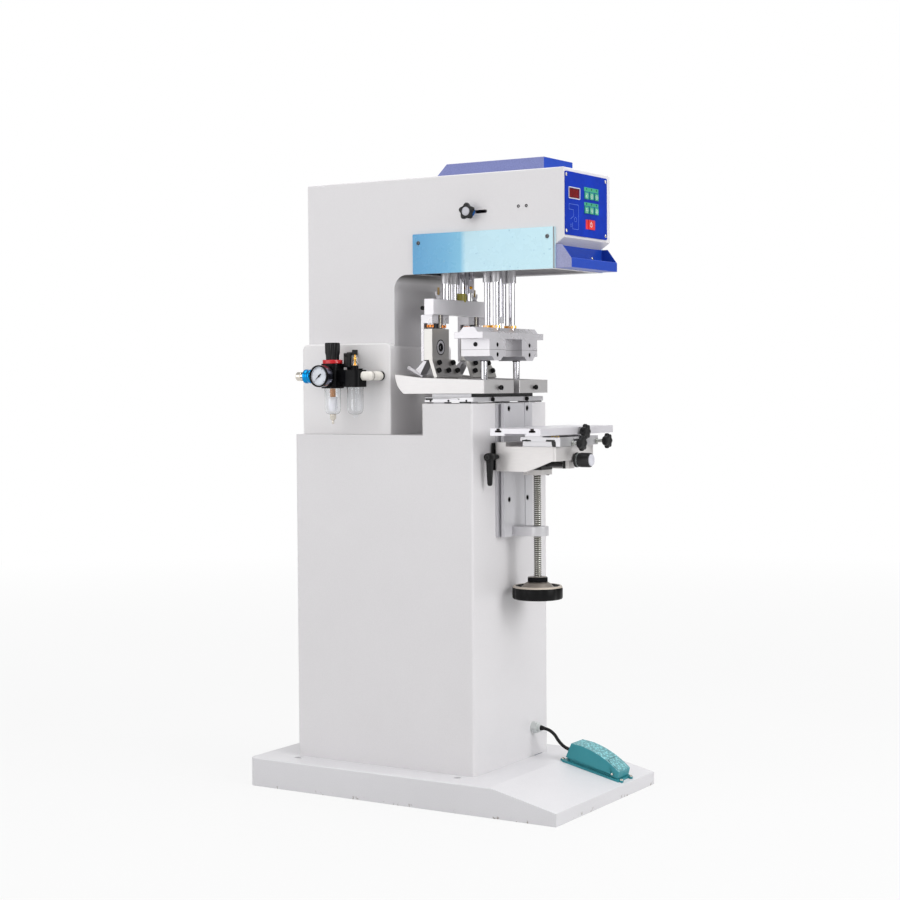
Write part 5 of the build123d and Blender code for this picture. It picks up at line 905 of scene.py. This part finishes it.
def doctor_head_details():
    turned("level_nuts", "copper_nut", "doctor_head", [(2.2, 913.9), (6.3, 913.9), (6.9, 914.5, "knurl"),
        (6.9, 919.4, "knurl"), (5.6, 920.4), (4, 922.4), (2.2, 922.4)],
        [(x + dx, -14.8, 0) for x in STATIONS for dx in (-23, 23)], steps=60, closed=True, smooth=30)
    turned("level_springs", "dark_steel", "doctor_head", band(0, 3.4, 913, 922.4),
        [(x + dx + 3, -9, 0) for x in STATIONS for dx in (-23, -11.5, 0, 11.5, 23)], steps=24, smooth=30)
    turned("level_studs", "stud_steel", "doctor_head", [(0, 912.8), (2.3, 912.8), (2.6, 913.2), (2.6, 939),
        (0, 939)], [(x, -22.8, 0) for x in STATIONS], steps=28, smooth=30)

    bm = bmesh.new()
    for x in STATIONS:
        lathe(bm, [(0, 969), (6, 969), (6, 970.4), (4.6, 971), (4.2, 973.4), (3.4, 977.6), (2.6, 978.2),
            (1.9, 978.2)], (x, -20, 0), steps=40)
        for side in (-1, 1):
            outline = [(2.4 * side, 972), (6.4 * side, 972.6), (10.2 * side, 977), (11 * side, 983.4),
                (8.8 * side, 985.2), (6 * side, 979.4), (2.4 * side, 977.4)]
            prism(bm, outline, (x, -19, 0), -Y, 2, u=X)
    piece("wing_nuts", bm, "alu_bright", "doctor_head", bevel=0.5, smooth=40, replaced=("wing_studs",))
    bm = bmesh.new()
    for x in STATIONS:
        thread(bm, (x, -20, 968), 2.4, 1, 24.5, 0.35)
    piece("wing_threads", bm, "old_brass", "doctor_head", smooth=50)

    turned("pivot_washers", "alu_bright", "doctor_head", [(8.6, -24.6), (13.2, -24.6), (13.6, -24.2),
        (13.6, -21), (8.6, -21)], [(x, 0, 875.6) for x in STATIONS], Y, u=X, steps=56, closed=True,
        smooth=30)
    bm = bmesh.new()
    for x in STATIONS:
        # painted shade: the outer black ring stands for the counterbore's shadow round the washer
        lathe(bm, [(13.4, -24.5), (15.2, -24.5), (15.4, -24.2), (15.4, -22), (13.4, -22)], (x, 0, 875.6), Y,
            u=X, steps=56, closed=True)
        lathe(bm, [(8.6, 0), (8.6, 2.2), (7.8, 3), (4.4, 3), (4.1, 2.7, "hex"), (4.1, -2.5, "hex"),
            (0, -2.6)], (x, -22, 875.6), -Y)
    piece("pivot_screws_and_shade_rings", bm, "black_oxide", "doctor_head", smooth=30)

    tilt = math.radians(18.5)
    normal = Vector((0, -math.cos(tilt), math.sin(tilt)))
    down = Vector((0, -math.sin(tilt), -math.cos(tilt)))
    for side, x0, body in (("left", -68.5, "blade_left"), ("right", 68.5, "blade_right")):
        bm = bmesh.new()
        top = Vector((x0, -27, 850)) + normal * 6
        for dx in (-26, 25):
            cap_screw(bm, top + X * dx + down * 7, normal, 4.8, 6, 2.3)
        for dx in (-36, 0, 33):
            cap_screw(bm, top + X * dx + down * 23, normal, 4.8, 6, 2.3)
        piece("clamp_screws_" + side, bm, "black_oxide", body, smooth=30)

    bm = bmesh.new()
    for x in STATIONS:
        for dx in (-16, 16):
            cap_screw(bm, (x + dx, 1.1, 862), Y, 3.6, 3.2, 1.7, False)
            cap_screw(bm, (x + dx, 1.1, 930), Y, 3.6, 3.2, 1.7, False)
    for x in (-90, 90):
        cap_screw(bm, (x, -9.5, 954), Y, 4, 4, 2, False)
    cap_screw(bm, (-99.5, -3.9, 951.8), -X, 4.2, 4, 2)
    cap_screw(bm, (99.5, -3.9, 951.8), X, 4.2, 4, 2)
    piece("hanger_screws", bm, "black_oxide", "doctor_head", smooth=30)

    bm = bmesh.new()
    brick(bm, (26.2, -42, 984), (31.4, -31.2, 1018))
    piece("flow_block", bm, "alu_bright", "carriage", bevel=0.8)
    turned("flow_needles", "brass_nut", "carriage", [(0, 3.9), (1.8, 3.5), (2.8, 2.4), (3, 1.2), (2.6, 0),
        (2.6, -1)], (26.2, -37.8, 995.4), -X, steps=36, smooth=40)
    turned("flow_stem", "chrome", "carriage", [(4, 1009), (4, 1016), (5.2, 1017), (5.2, 1029.8)],
        (28.8, -36.6, 0), steps=36, smooth=40)


def ink_station_details():
    turned("tray_front_screws", "black_oxide", "frame", [(2.7, 155), (2.7, 158.2), (4.4, 158.2),
        (4.8, 158.7, "knurl"), (4.8, 162.4, "knurl"), (4.4, 163), (2.5, 163), (2.3, 162.7, "hex"),
        (2.3, 160.4, "hex"), (0, 160.2)], [(x, 0, 796.6) for x in STATIONS], -Y, smooth=30)
    bm = bmesh.new()
    for x in (-67, 67):
        cap_screw(bm, (x, -138.5, 774.2), -Y, 4.2, 4.4, 2.1)
    piece("bracket_screws", bm, "black_oxide", "frame", smooth=30)
    bm = bmesh.new()
    for x, w in ((-138, -X), (138, X)):
        for y in (-124, -84, -44):
            lathe(bm, [(2.2, -0.2), (2.2, 0.3), (1.9, 0.5), (0, 0.5)], (x, y, 772), w, steps=24)
    piece("bracket_set_screws", bm, "black_oxide", "frame", smooth=30)
    # painted shade: black patches on the bracket's ends stand for the shade in its relief cuts
    bm = bmesh.new()
    side_bricks(bm, (137.7, -134.7, 767.2), (138.15, -109.3, 770.4))
    side_bricks(bm, (137.7, -48.6, 773.4), (138.15, -33, 776.6))
    piece("bracket_relief_shade", bm, "anodised_black", "frame")
    bm = bmesh.new()
    side_bricks(bm, (137.7, -105, 773.6), (138.1, -48.6, 776.4))
    piece("bracket_grooves", bm, "steel", "frame")


pad_head_details()
doctor_head_details()
ink_station_details()


# ---------------------------------------------------------------- lift, knee and table
def lift_details():
    bm = bmesh.new()
    thread(bm, (0, -200, 428), 8, 4, 212, 1.7, 28, 6)
    lathe(bm, [(8, 640), (8, 641.2), (11.5, 641.2), (11.5, 661), (10.9, 661.9), (0, 661.9)], LIFT_AXIS,
        steps=40)
    piece("threaded_screw", bm, "lead_screw", "lift_wheel", smooth=32, replaced=("lifting_screw",))

    grip = (9, 0.035, 3)
    rows = [(39.5, 387), (44, 385.7), (47.6, 386.6, grip), (49.3, 389, grip), (49.4, 397, grip),
        (49.4, 406.5, grip), (48.4, 409.6, grip), (46.2, 411.3), (43, 411.4), (40.6, 409.9), (39.4, 406),
        (38.6, 394)]
    turned("wheel_rim", "wheel_black", "lift_wheel", rows, LIFT_AXIS, steps=108, closed=True, smooth=40,
        replaced=("handwheel",))
    turned("wheel_chamfer", "rim_face", "lift_wheel", [(43.2, 411.2), (46.4, 411.1), (48.9, 408.6, grip),
        (49.1, 408.9, grip), (46.6, 411.9), (43.4, 412)], LIFT_AXIS, steps=108, closed=True, smooth=40)
    turned("wheel_dish", "rim_grey", "lift_wheel", [(8.15, 385.8), (21, 385.8), (30, 389), (39.6, 394),
        (39.6, 402.5), (33, 408), (24.5, 416.2), (19, 419.4), (8.15, 419.4)], LIFT_AXIS, steps=72,
        closed=True, smooth=34)
    # painted shade: black discs on the dish stand for its five shaded window openings
    bm = bmesh.new()
    for i in range(5):
        turn = math.radians(72 * i + 20)
        place = Vector((32 * math.cos(turn), -200 + 32 * math.sin(turn), 396))
        lathe(bm, band(0, 5.6, 13.6, 9), place, Z, steps=28)
    piece("wheel_window_shade", bm, "black_gloss", "lift_wheel", smooth=34)
    turned("wheel_lock_nut", "black_gloss", "lift_wheel", [(8.15, 419.4), (16.8, 419.4), (16.8, 420.2),
        (19.2, 420.4, "hex"), (19.2, 427.6, "hex"), (18.2, 428.8), (8.15, 428.8)], LIFT_AXIS, steps=72,
        closed=True, smooth=30)
    turned("wheel_nut_face", "rim_grey", "lift_wheel", [(8.2, 428.7), (17.6, 428.7), (17.4, 429),
        (8.2, 429)], LIFT_AXIS, closed=True, smooth=30)

    turned("rail_bolts", "black_oxide", "frame", [(4.9, 0), (4.9, 3), (4.4, 3.5), (2.8, 3.5),
        (2.6, 3.2, "hex"), (2.6, 0.8, "hex"), (0, 0.7)], [(x, -154.4, z) for x in (-36, 36) for z in (580,
        755.8)], -Y, steps=36, smooth=30)

    bm = bmesh.new()
    lathe(bm, [(8.6, 508.4), (13.2, 508.4), (14, 508.9), (14, 509.4), (8.6, 509.4)], LIFT_AXIS, closed=True)
    lathe(bm, [(8.6, 526.8), (14, 526.8), (14, 527.4), (13.2, 527.9), (8.6, 527.9)], LIFT_AXIS, closed=True)
    piece("nut_flange", bm, "alu", "frame", smooth=30)

    bm = bmesh.new()
    brick(bm, (-21.5, -221.4, 637.4), (21.5, -220.8, 657))
    side_bricks(bm, (21.2, -221.4, 637.4), (21.9, -184, 656))
    side_bricks(bm, (10.8, -268, 641.6), (11.5, -262.4, 656.2))
    brick(bm, (-11.4, -266.5, 640.6), (11.4, -262.2, 641.2))
    lathe(bm, band(0, 5.4, 220, 262.4), (0, 0, 648.4), -Y, steps=32)
    piece("feed_screw_cover", bm, "anodised_black", "knee")

    bm = bmesh.new()
    for x in (-17, 17):
        button_screw(bm, (x, -214, 627.5), -Z, 3.6, 1.8)
    piece("retainer_screws", bm, "black_oxide", "knee", smooth=30)
    # painted shade: black strips at the knee's rear edges stand for the shaded gap between the knee and the
    # rail
    bm = bmesh.new()
    side_bricks(bm, (62, -147.2, 638), (79.6, -144.4, 690.5))
    piece("knee_gap_shade_strips", bm, "anodised_black", "knee")

    bm = bmesh.new()
    lathe(bm, [(0, 19.6), (6.4, 19.6), (7.8, 18.8), (8.3, 16), (8.3, 5), (7.6, 3.6), (0, 3.6)], LEVER, -X)
    lathe(bm, [(4.6, -18.4), (4.6, -9), (6.4, -8.4), (6.4, 4), (4.6, 4)], LEVER, -X, steps=40)
    piece("lever_hub", bm, "black_oxide", "clamp_lever", smooth=36, replaced=("clamp_lever",))
    turned("lever_arm", "black_plastic", "clamp_lever", [(7.2, 0), (7, 8), (6.7, 14), (6.2, 26), (5.4, 42),
        (5, 50), (4.2, 52.8), (2.6, 54), (0, 54)], (-108.3, -157, 664), -Z, steps=40, smooth=44)
    turned("lever_button", "anodised_black", "clamp_lever", [(0, 19.55), (4.6, 19.55), (4.6, 19.6),
        (3, 19.62), (2.7, 19.5, "hex"), (2.7, 17, "hex"), (0, 17)], LEVER, -X, steps=36, smooth=30)


def slide_details():
    """Painted shade: dark sheets on the cross slide's end faces stand for the shaded clearances of the
    dovetails, seen from both ends.
    """
    bm = bmesh.new()
    for side in (-1, 1):
        face = 78 * side
        for outline in ([(209.9, 694.5), (230.5, 694.5), (229.6, 697), (221.8, 697.6), (219.9, 698.4),
            (218, 697.6), (211, 697.2)], [(261.5, 694.5), (273.9, 694.5), (275.6, 685.2), (283.3, 685.2),
            (281, 697.6), (263, 698)]):
            prism(bm, [(-y * side, z) for y, z in outline], (face - 0.1 * side, 0, 0), X * side, 0.25,
                u=Y * side)
    piece("slide_clearance_shade", bm, "anodised_black", "cross_slide")
    turned("gib_screws", "old_brass", "cross_slide", [(0, 0), (1.9, 0), (1.9, 2.6), (1.5, 3), (0.8, 3),
        (0.8, 1.8, "hex"), (0, 1.8)], [(-75.4, y, 702.4) for y in (-274.5, -281, -287.5)], steps=28,
        smooth=30)


def knob_details():
    places = (("table_lock", "table_lock_knob", 11.6, 711.5, -289.8, -304.8),
        ("slide_lock", "slide_lock_knob", -28.8, 690.4, -292.8, -317.8), ("gib_lock", "gib_lock_knob", 70,
        692.4, -292.8, -321.8))
    for name, body, x, z, back, front in places:
        lobes, soft = (7, 0.17, 1), (7, 0.12, 1)
        reach = back - front
        rows = [(0, reach - 12.8), (8.2, reach - 12.8), (9, reach - 9.4), (12, reach - 8.6, soft),
            (14.4, reach - 8, lobes), (15, reach - 6.8, lobes), (15, reach - 2.2, lobes),
            (14.2, reach - 0.9, lobes), (11, reach - 0.1, soft), (6.4, reach - 0.1), (5.8, reach - 0.8),
            (0, reach - 0.9)]
        turned(name + "_star", "black_plastic", body, rows, (x, back, z), -Y, u=X, steps=84, smooth=40,
            replaced=(body,))
        bm = bmesh.new()
        lathe(bm, [(3.4, 0), (3.4, reach - 12)], (x, back, z), -Y, steps=28)
        lathe(bm, [(5.4, 0.1), (5.4, 1.6), (3.4, 1.6)], (x, back, z), -Y, steps=28)
        piece(name + "_stud", bm, "zinc_steel", body, smooth=40)

    turned("dial_body", "anodised_black", "feed_dial", [(4.6, 284.5), (11, 284.5), (14.2, 285.2, "knurl"),
        (14.2, 289.4, "knurl"), (13.4, 289.8), (13.4, 295.6), (13.9, 296.2, "knurl"),
        (13.9, 314.8, "knurl"), (13.2, 316.6), (11.8, 317.4), (0, 317.4)], DIAL_AXIS, -Y, steps=72,
        smooth=34, replaced=("feed_dial",))
    turned("dial_cap", "grey_cap", "feed_dial", [(11.4, 317.3), (11.4, 318.4), (10.8, 319.3), (4, 319.4),
        (3.6, 319), (0, 319)], DIAL_AXIS, -Y, steps=60, smooth=34)
    bm = bmesh.new()
    divisions, front, radius = 40, -290.2, 13.3
    for i in range(divisions):
        turn = 2 * math.pi * i / divisions
        radial = Vector((math.cos(turn), 0, math.sin(turn)))
        side = radial.cross(Y).normalized()
        long = 3.4 if i % 5 == 0 else 2.1
        base = Vector((0, front, DIAL_AXIS[2])) + radial * radius
        corners = [base + side * a - Y * b for a, b in ((-0.22, 0), (0.22, 0), (0.22, long), (-0.22, long))]
        solid(bm, corners, [corner + radial * 0.22 for corner in corners])
    piece("dial_marks", bm, "white_print", "feed_dial")


lift_details()
slide_details()
knob_details()


# ---------------------------------------------------------------- air unit
def air_unit_details():
    regulator, lubricator = (AIR_X, REGULATOR_Y, 0), (AIR_X, LUBRICATOR_Y, 0)
    port = (AIR_X, 0, PORT_Z)
    grip, soft = (8, 0.16, 3), (8, 0.1, 3)
    rows = [(0, 853), (13, 853), (13.2, 857, soft), (13.4, 862, grip), (14.8, 867, grip), (15, 884.8, grip),
        (14.2, 886.5, grip), (11.4, 886.8, soft), (0, 886.7)]
    turned("regulator_grip", "black_plastic", "regulator_knob", rows, regulator, steps=128, smooth=40,
        replaced=("regulator_knob",))
    turned("regulator_ring", "red", "frame", [(14, 845.6), (19.3, 845.6), (19.8, 846.2), (19.8, 851.9),
        (19.2, 852.9), (12.4, 852.9), (12.4, 845.6)], regulator, steps=90, closed=True, smooth=34)

    bm = bmesh.new()
    lathe(bm, [(0, 173), (16.6, 173), (17, 173.6), (17, 180.2), (15.8, 181.4), (0, 181.4)],
        (0, REGULATOR_Y, PORT_Z), -X, steps=64)
    lathe(bm, [(12, 840), (19.6, 840), (19.6, 842.6), (18, 845.5), (12, 845.5)], regulator, steps=64,
        closed=True)
    for y, r, z in ((REGULATOR_Y, 19.6, 797), (LUBRICATOR_Y, 18.9, 799.2)):
        lathe(bm, [(12, 0), (r - 0.8, 0), (r, 0.8, "knurl"), (r, 7.2, "knurl"), (r - 1.4, 8.4), (12, 8.4)],
            (AIR_X, y, z), steps=96, closed=True)
    piece("air_collars", bm, "black_gloss", "frame", smooth=34)

    bm = bmesh.new()
    brick(bm, (-136.5, 139, 806), (-116, 152.5, 868))
    brick(bm, (-150, 141.5, 838), (-134, 150.5, 866))
    piece("air_bracket", bm, "black_plastic", "frame", bevel=1.2)

    bm = bmesh.new()
    button_screw(bm, (-150, 145.5, 861), -X, 3, 1.6)
    for dy, dz in ((-13, -15), (13, -15), (-13, 16)):
        cap_screw(bm, (AIR_X - 18.4, REGULATOR_Y + dy, PORT_Z + dz), -X, 2.4, 1.8, 1.2, False)
    piece("air_screws", bm, "black_oxide", "frame", smooth=30)

    def bowl(name, place, top, foot, replaced=()):
        r, bottom = 16.6, 745.8
        rows = [(r - 1.6, top), (r, top), (r, top - 4.5), (r - 0.8, top - 5.4), (r - 0.6, bottom + 12),
            (r - 1.6, bottom + 6), (r - 4.4, bottom + 2), (foot, bottom), (0, bottom), (0, bottom + 0.9),
            (foot - 0.6, bottom + 0.9), (r - 5, bottom + 2.8), (r - 2.6, bottom + 6.6),
            (r - 1.6, bottom + 12.4), (r - 1.6, top)]
        turned(name, "clear", "frame", rows, place, steps=64, smooth=50, replaced=replaced)

    bowl("filter_bowl", regulator, 797.2, 9, ("air_bowls",))
    bowl("lubricator_bowl", lubricator, 799.4, 8)

    turned("filter_element", "orange", "frame", [(0, 780.5), (5.2, 780.5), (5.6, 781.2), (5.6, 796.8),
        (0, 796.8)], regulator, smooth=40)
    bm = bmesh.new()
    lathe(bm, [(0, 777.6), (8.6, 777.6), (9.4, 778.4), (9.4, 779.6), (6, 780.4), (0, 780.4)], regulator)
    vanes = (12, 0.1, 2)
    lathe(bm, [(0, 753), (6.4, 753), (8.4, 757, vanes), (8.6, 763, vanes), (8, 766), (8.6, 768, vanes),
        (8.4, 776.6, vanes), (0, 776.6)], regulator, steps=96)
    piece("filter_baffle", bm, "frosted", "frame", smooth=40)
    fins = (6, 0.34, 1)
    turned("bowl_drain", "nickel", "frame", [(0, 746.4), (6.4, 746.4), (6.6, 745, fins), (6, 738, fins),
        (4.4, 735, fins), (3.2, 734.2), (2.2, 733.6), (2.2, 728.4), (1.8, 727), (0, 727)], regulator,
        steps=72, smooth=34)
    turned("oil_pickup", "clear_tube", "frame", [(0, 752.4), (1.9, 752.4), (2.3, 754), (2.3, 799),
        (0, 799)], (AIR_X + 3, LUBRICATOR_Y, 0), steps=24, smooth=40)
    turned("lubricator_foot", "clear_tube", "frame", [(4.6, 745.8), (4.6, 741), (3.8, 740), (0, 740)],
        lubricator, steps=36, smooth=40)

    turned("sight_dome", "clear_tube", "frame", [(6.4, 841.5), (6.5, 842), (6.5, 859), (5.6, 861.6),
        (4.4, 862.2), (3.6, 862.2), (4.6, 860.6), (5.2, 858), (5.2, 842)], lubricator, closed=True,
        smooth=44)
    turned("sight_needle", "brass_nut", "frame", [(0, 841.5), (4.4, 841.5), (4.4, 843.4), (2, 844),
        (1.6, 850), (3, 853), (3, 856), (1.3, 858.5), (1.3, 862.4), (0, 862.4)], lubricator, steps=32,
        smooth=40)
    turned("oil_screw", "black_plastic", "oil_cap", [(0, 862.6), (5.2, 862.6), (5.7, 863.2, "knurl"),
        (5.7, 870.8, "knurl"), (5.1, 872), (0, 872)], lubricator, steps=60, smooth=34,
        replaced=("oil_cap",))

    gauge = Vector((0, REGULATOR_Y, PORT_Z))
    turned("gauge_case", "gauge_side", "frame", [(0, 173.5), (6.5, 173.5), (6.5, 177.5, "square"),
        (6.5, 180.5, "square"), (6, 181.6), (16, 181.6), (20.6, 183.4), (21.2, 185.4), (21.2, 199.8),
        (20, 199.8), (20, 187), (0, 187)], gauge, -X, u=Z, steps=72, smooth=34,
        replaced=("pressure_gauge",))
    turned("gauge_bezel", "black_gloss", "frame", [(20.1, 199), (21.4, 199.2), (21.5, 200), (21.5, 203.4),
        (20.9, 204.5), (19.2, 204.5), (18.7, 203.8), (18.5, 202.2), (18.5, 199)], gauge, -X, steps=72,
        closed=True, smooth=34)
    turned("gauge_dial", "gauge_white", "frame", band(0, 18.9, 201.2, 200.4), gauge, -X, steps=72,
        smooth=34)
    bm = bmesh.new()
    face = 201.2
    divisions, first, sweep = 50, 225, 270
    for i in range(divisions + 1):
        turn = math.radians(first - sweep * i / divisions)
        inner = 13.4 if i % 10 == 0 else (14.6 if i % 5 == 0 else 15.4)
        wide = 0.32 if i % 10 == 0 else 0.16
        radial = -Y * math.cos(turn) + Z * math.sin(turn)
        side = X.cross(radial)
        origin = gauge - X * face
        outline = ((inner, -wide), (16.6, -wide), (16.6, wide), (inner, wide))
        corners = [origin + radial * a + side * b for a, b in outline]
        solid(bm, corners, [corner - X * 0.12 for corner in corners])
    lathe(bm, band(16.7, 17, face, face + 0.12), gauge, -X, steps=72, closed=True)
    piece("gauge_marks", bm, "ink_grey", "frame")
    bm = bmesh.new()
    turn = math.radians(222)
    radial = -Y * math.cos(turn) + Z * math.sin(turn)
    side = X.cross(radial)
    origin = gauge - X * (face + 0.5)
    outline = ((13.2, 0), (2, -0.9), (-6, -1.5), (-6, 1.5), (2, 0.9))
    corners = [origin + radial * a + side * b for a, b in outline]
    solid(bm, corners, [corner - X * 0.5 for corner in corners])
    lathe(bm, [(0, face + 1.5), (1.8, face + 1.5), (2.2, face + 1), (2.2, face + 0.3), (0, face + 0.3)],
        gauge, -X, steps=28)
    piece("gauge_needle", bm, "black_gloss", "frame", smooth=34)

    bm = bmesh.new()
    lathe(bm, [(6.4, -191.6), (8.6, -191.6, "hex"), (8.6, -199, "hex"), (6.4, -199.6), (6.4, -221),
        (5.55, -222), (5.55, -191.6)], port, -Y, closed=True)
    lathe(bm, [(5.6, -258), (8.2, -258), (8.9, -257), (8.9, -247.6), (8.4, -247), (8.4, -241.6), (9, -241),
        (9, -238.6), (5.6, -238.6)], port, -Y, closed=True)
    lathe(bm, band(5.6, 9.4, -240, -221.6), port, -Y, closed=True)
    piece("coupler", bm, "nickel", "frame", smooth=34, replaced=("air_fittings",))
    bm = bmesh.new()
    for i in range(6):
        turn = math.radians(60 * i + 12)
        place = Vector((AIR_X + 8.5 * math.cos(turn), 244.3, PORT_Z + 8.5 * math.sin(turn)))
        lathe(bm, band(0, 1.5, 0.15, -0.4), place, (math.cos(turn), 0, math.sin(turn)), steps=20)
    piece("coupler_balls", bm, "dark_steel", "frame", smooth=34)
    turned("coupler_sleeve", "blue_anodised", "frame", [(9.5, -238.4), (13.2, -238.4), (14, -237.6),
        (14, -233.6), (12.8, -231.8), (12.2, -229.6), (12.8, -227.4), (14, -225.8), (14, -222.8),
        (13.2, -222), (9.5, -222)], port, -Y, steps=64, closed=True, smooth=34)

    bm = bmesh.new()
    rows = [(0, -101.8), (7.2, -101.8), (9, -100.4), (9, -84)]
    lathe(bm, rows + [(8.4, -80.6), (5.6, -77.6), (0, -76.6)], port, -Y)
    lathe(bm, [(9, 6), (8.8, 14), (8.2, 15), (8.2, 18), (9, 19), (9, 35.6), (8.2, 36.6), (0, 36.6)],
        (AIR_X, 85.6, PORT_Z), X)
    piece("elbow", bm, "cream", "frame", smooth=44)
    turned("elbow_ring", "black_gloss", "frame", [(6, -4), (8.6, -4), (9.4, -3.4), (9.4, -0.4), (6, -0.4)],
        (-114.4, 85.6, PORT_Z), X, closed=True, smooth=34)


# ---------------------------------------------------------------- foot switch, base, column and back
def pedal_details():
    lean = math.radians(12.85)
    origin = Vector((99, -218, 54.72))
    along = Vector((0, -math.cos(lean), -math.sin(lean)))
    normal = Vector((0, -math.sin(lean), math.cos(lean)))

    def spot(x, a, h):
        return origin + X * x + along * a + normal * h

    bm = bmesh.new()
    for side in (-1, 1):
        lathe(bm, [(0, 1.9), (1.6, 1.8), (2.7, 1.1), (2.9, 0.4), (2.9, -0.6)], spot(25 * side, 105, 10.5),
            X * side, steps=28)
    for x, a in ((-20.5, -6.6), (20.5, -6.6), (-20.5, 124.6), (20.5, 124.6)):
        lathe(bm, [(3.5, 3.7), (3.5, 5.2), (2.9, 6.2), (1.5, 6.5), (1.3, 6.2, "square"),
            (1.2, 5.2, "square"), (0, 5.1)], spot(x, a, 0), normal, steps=32)
    piece("pedal_fasteners", bm, "nickel", "frame", smooth=40)

    # A raised plate with round rear corners follows the treadle's arc; a slightly larger dark rim under it is
    # painted shade for the crease round it
    plates = (("treadle_crease_shade", "crease_shade_teal", 86.4, 23.2, 0.35),
        ("treadle_heel_rest", "treadle", 88, 22.4, 0.9))
    arc_along, arc_below, arc_radius = 25.75, 145.92, 188.97
    strips, heel_end, corner_length, corner_width = 16, 116.6, 11, 9
    for name, finish, start, width, rise in plates:
        bm = bmesh.new()
        rows = []
        for step in range(strips + 1):
            a = start + (heel_end - start) * step / strips
            short = min(1, max(0, (start + corner_length - a) / corner_length))
            half = width - corner_width * (1 - math.sqrt(1 - short ** 2))
            crown = -arc_below + math.sqrt(arc_radius ** 2 - (a - arc_along) ** 2)
            section = ((-half, crown - 0.6), (-half, crown + rise - 0.3), (-half + 0.5, crown + rise),
                (half - 0.5, crown + rise), (half, crown + rise - 0.3), (half, crown - 0.6))
            rows.append([bm.verts.new(spot(x, a, h)) for x, h in section])
        for near, far in zip(rows, rows[1:]):
            skin(bm, near, far)
        bm.faces.new(list(reversed(rows[0])))
        bm.faces.new(rows[-1])
        piece(name, bm, finish, "treadle", smooth=40)

    bm = bmesh.new()
    lathe(bm, [(3.35, 0), (5.2, 0), (5, 1.6), (4, 6.4), (3.7, 7.6), (3.35, 7.8)], (84.7, -158.6, 115.4), -Y,
        steps=32, closed=True)
    lathe(bm, [(3.35, -0.4), (5.2, -0.4), (5, 1.6), (4, 5), (3.35, 5.2)], (92, -222.8, 75.7), -along, u=X,
        steps=32, closed=True)
    piece("cable_boots", bm, "rubber", "frame", smooth=40)


def back_details():
    bm = bmesh.new()
    groups = ((107, (140, 380, 620), 274.1, 4.2, 1.9), (60, (138, 622), 274.1, 4.2, 1.9),
        (100, (730, 860), 275.8, 3.6, 1.6))
    for reach, heights, y, radius, height in groups:
        for x in (-reach, reach):
            for z in heights:
                button_screw(bm, (x, y, z), Y, radius, height)
    piece("rear_screws", bm, "nickel", "frame", smooth=30)


air_unit_details()
pedal_details()
back_details()
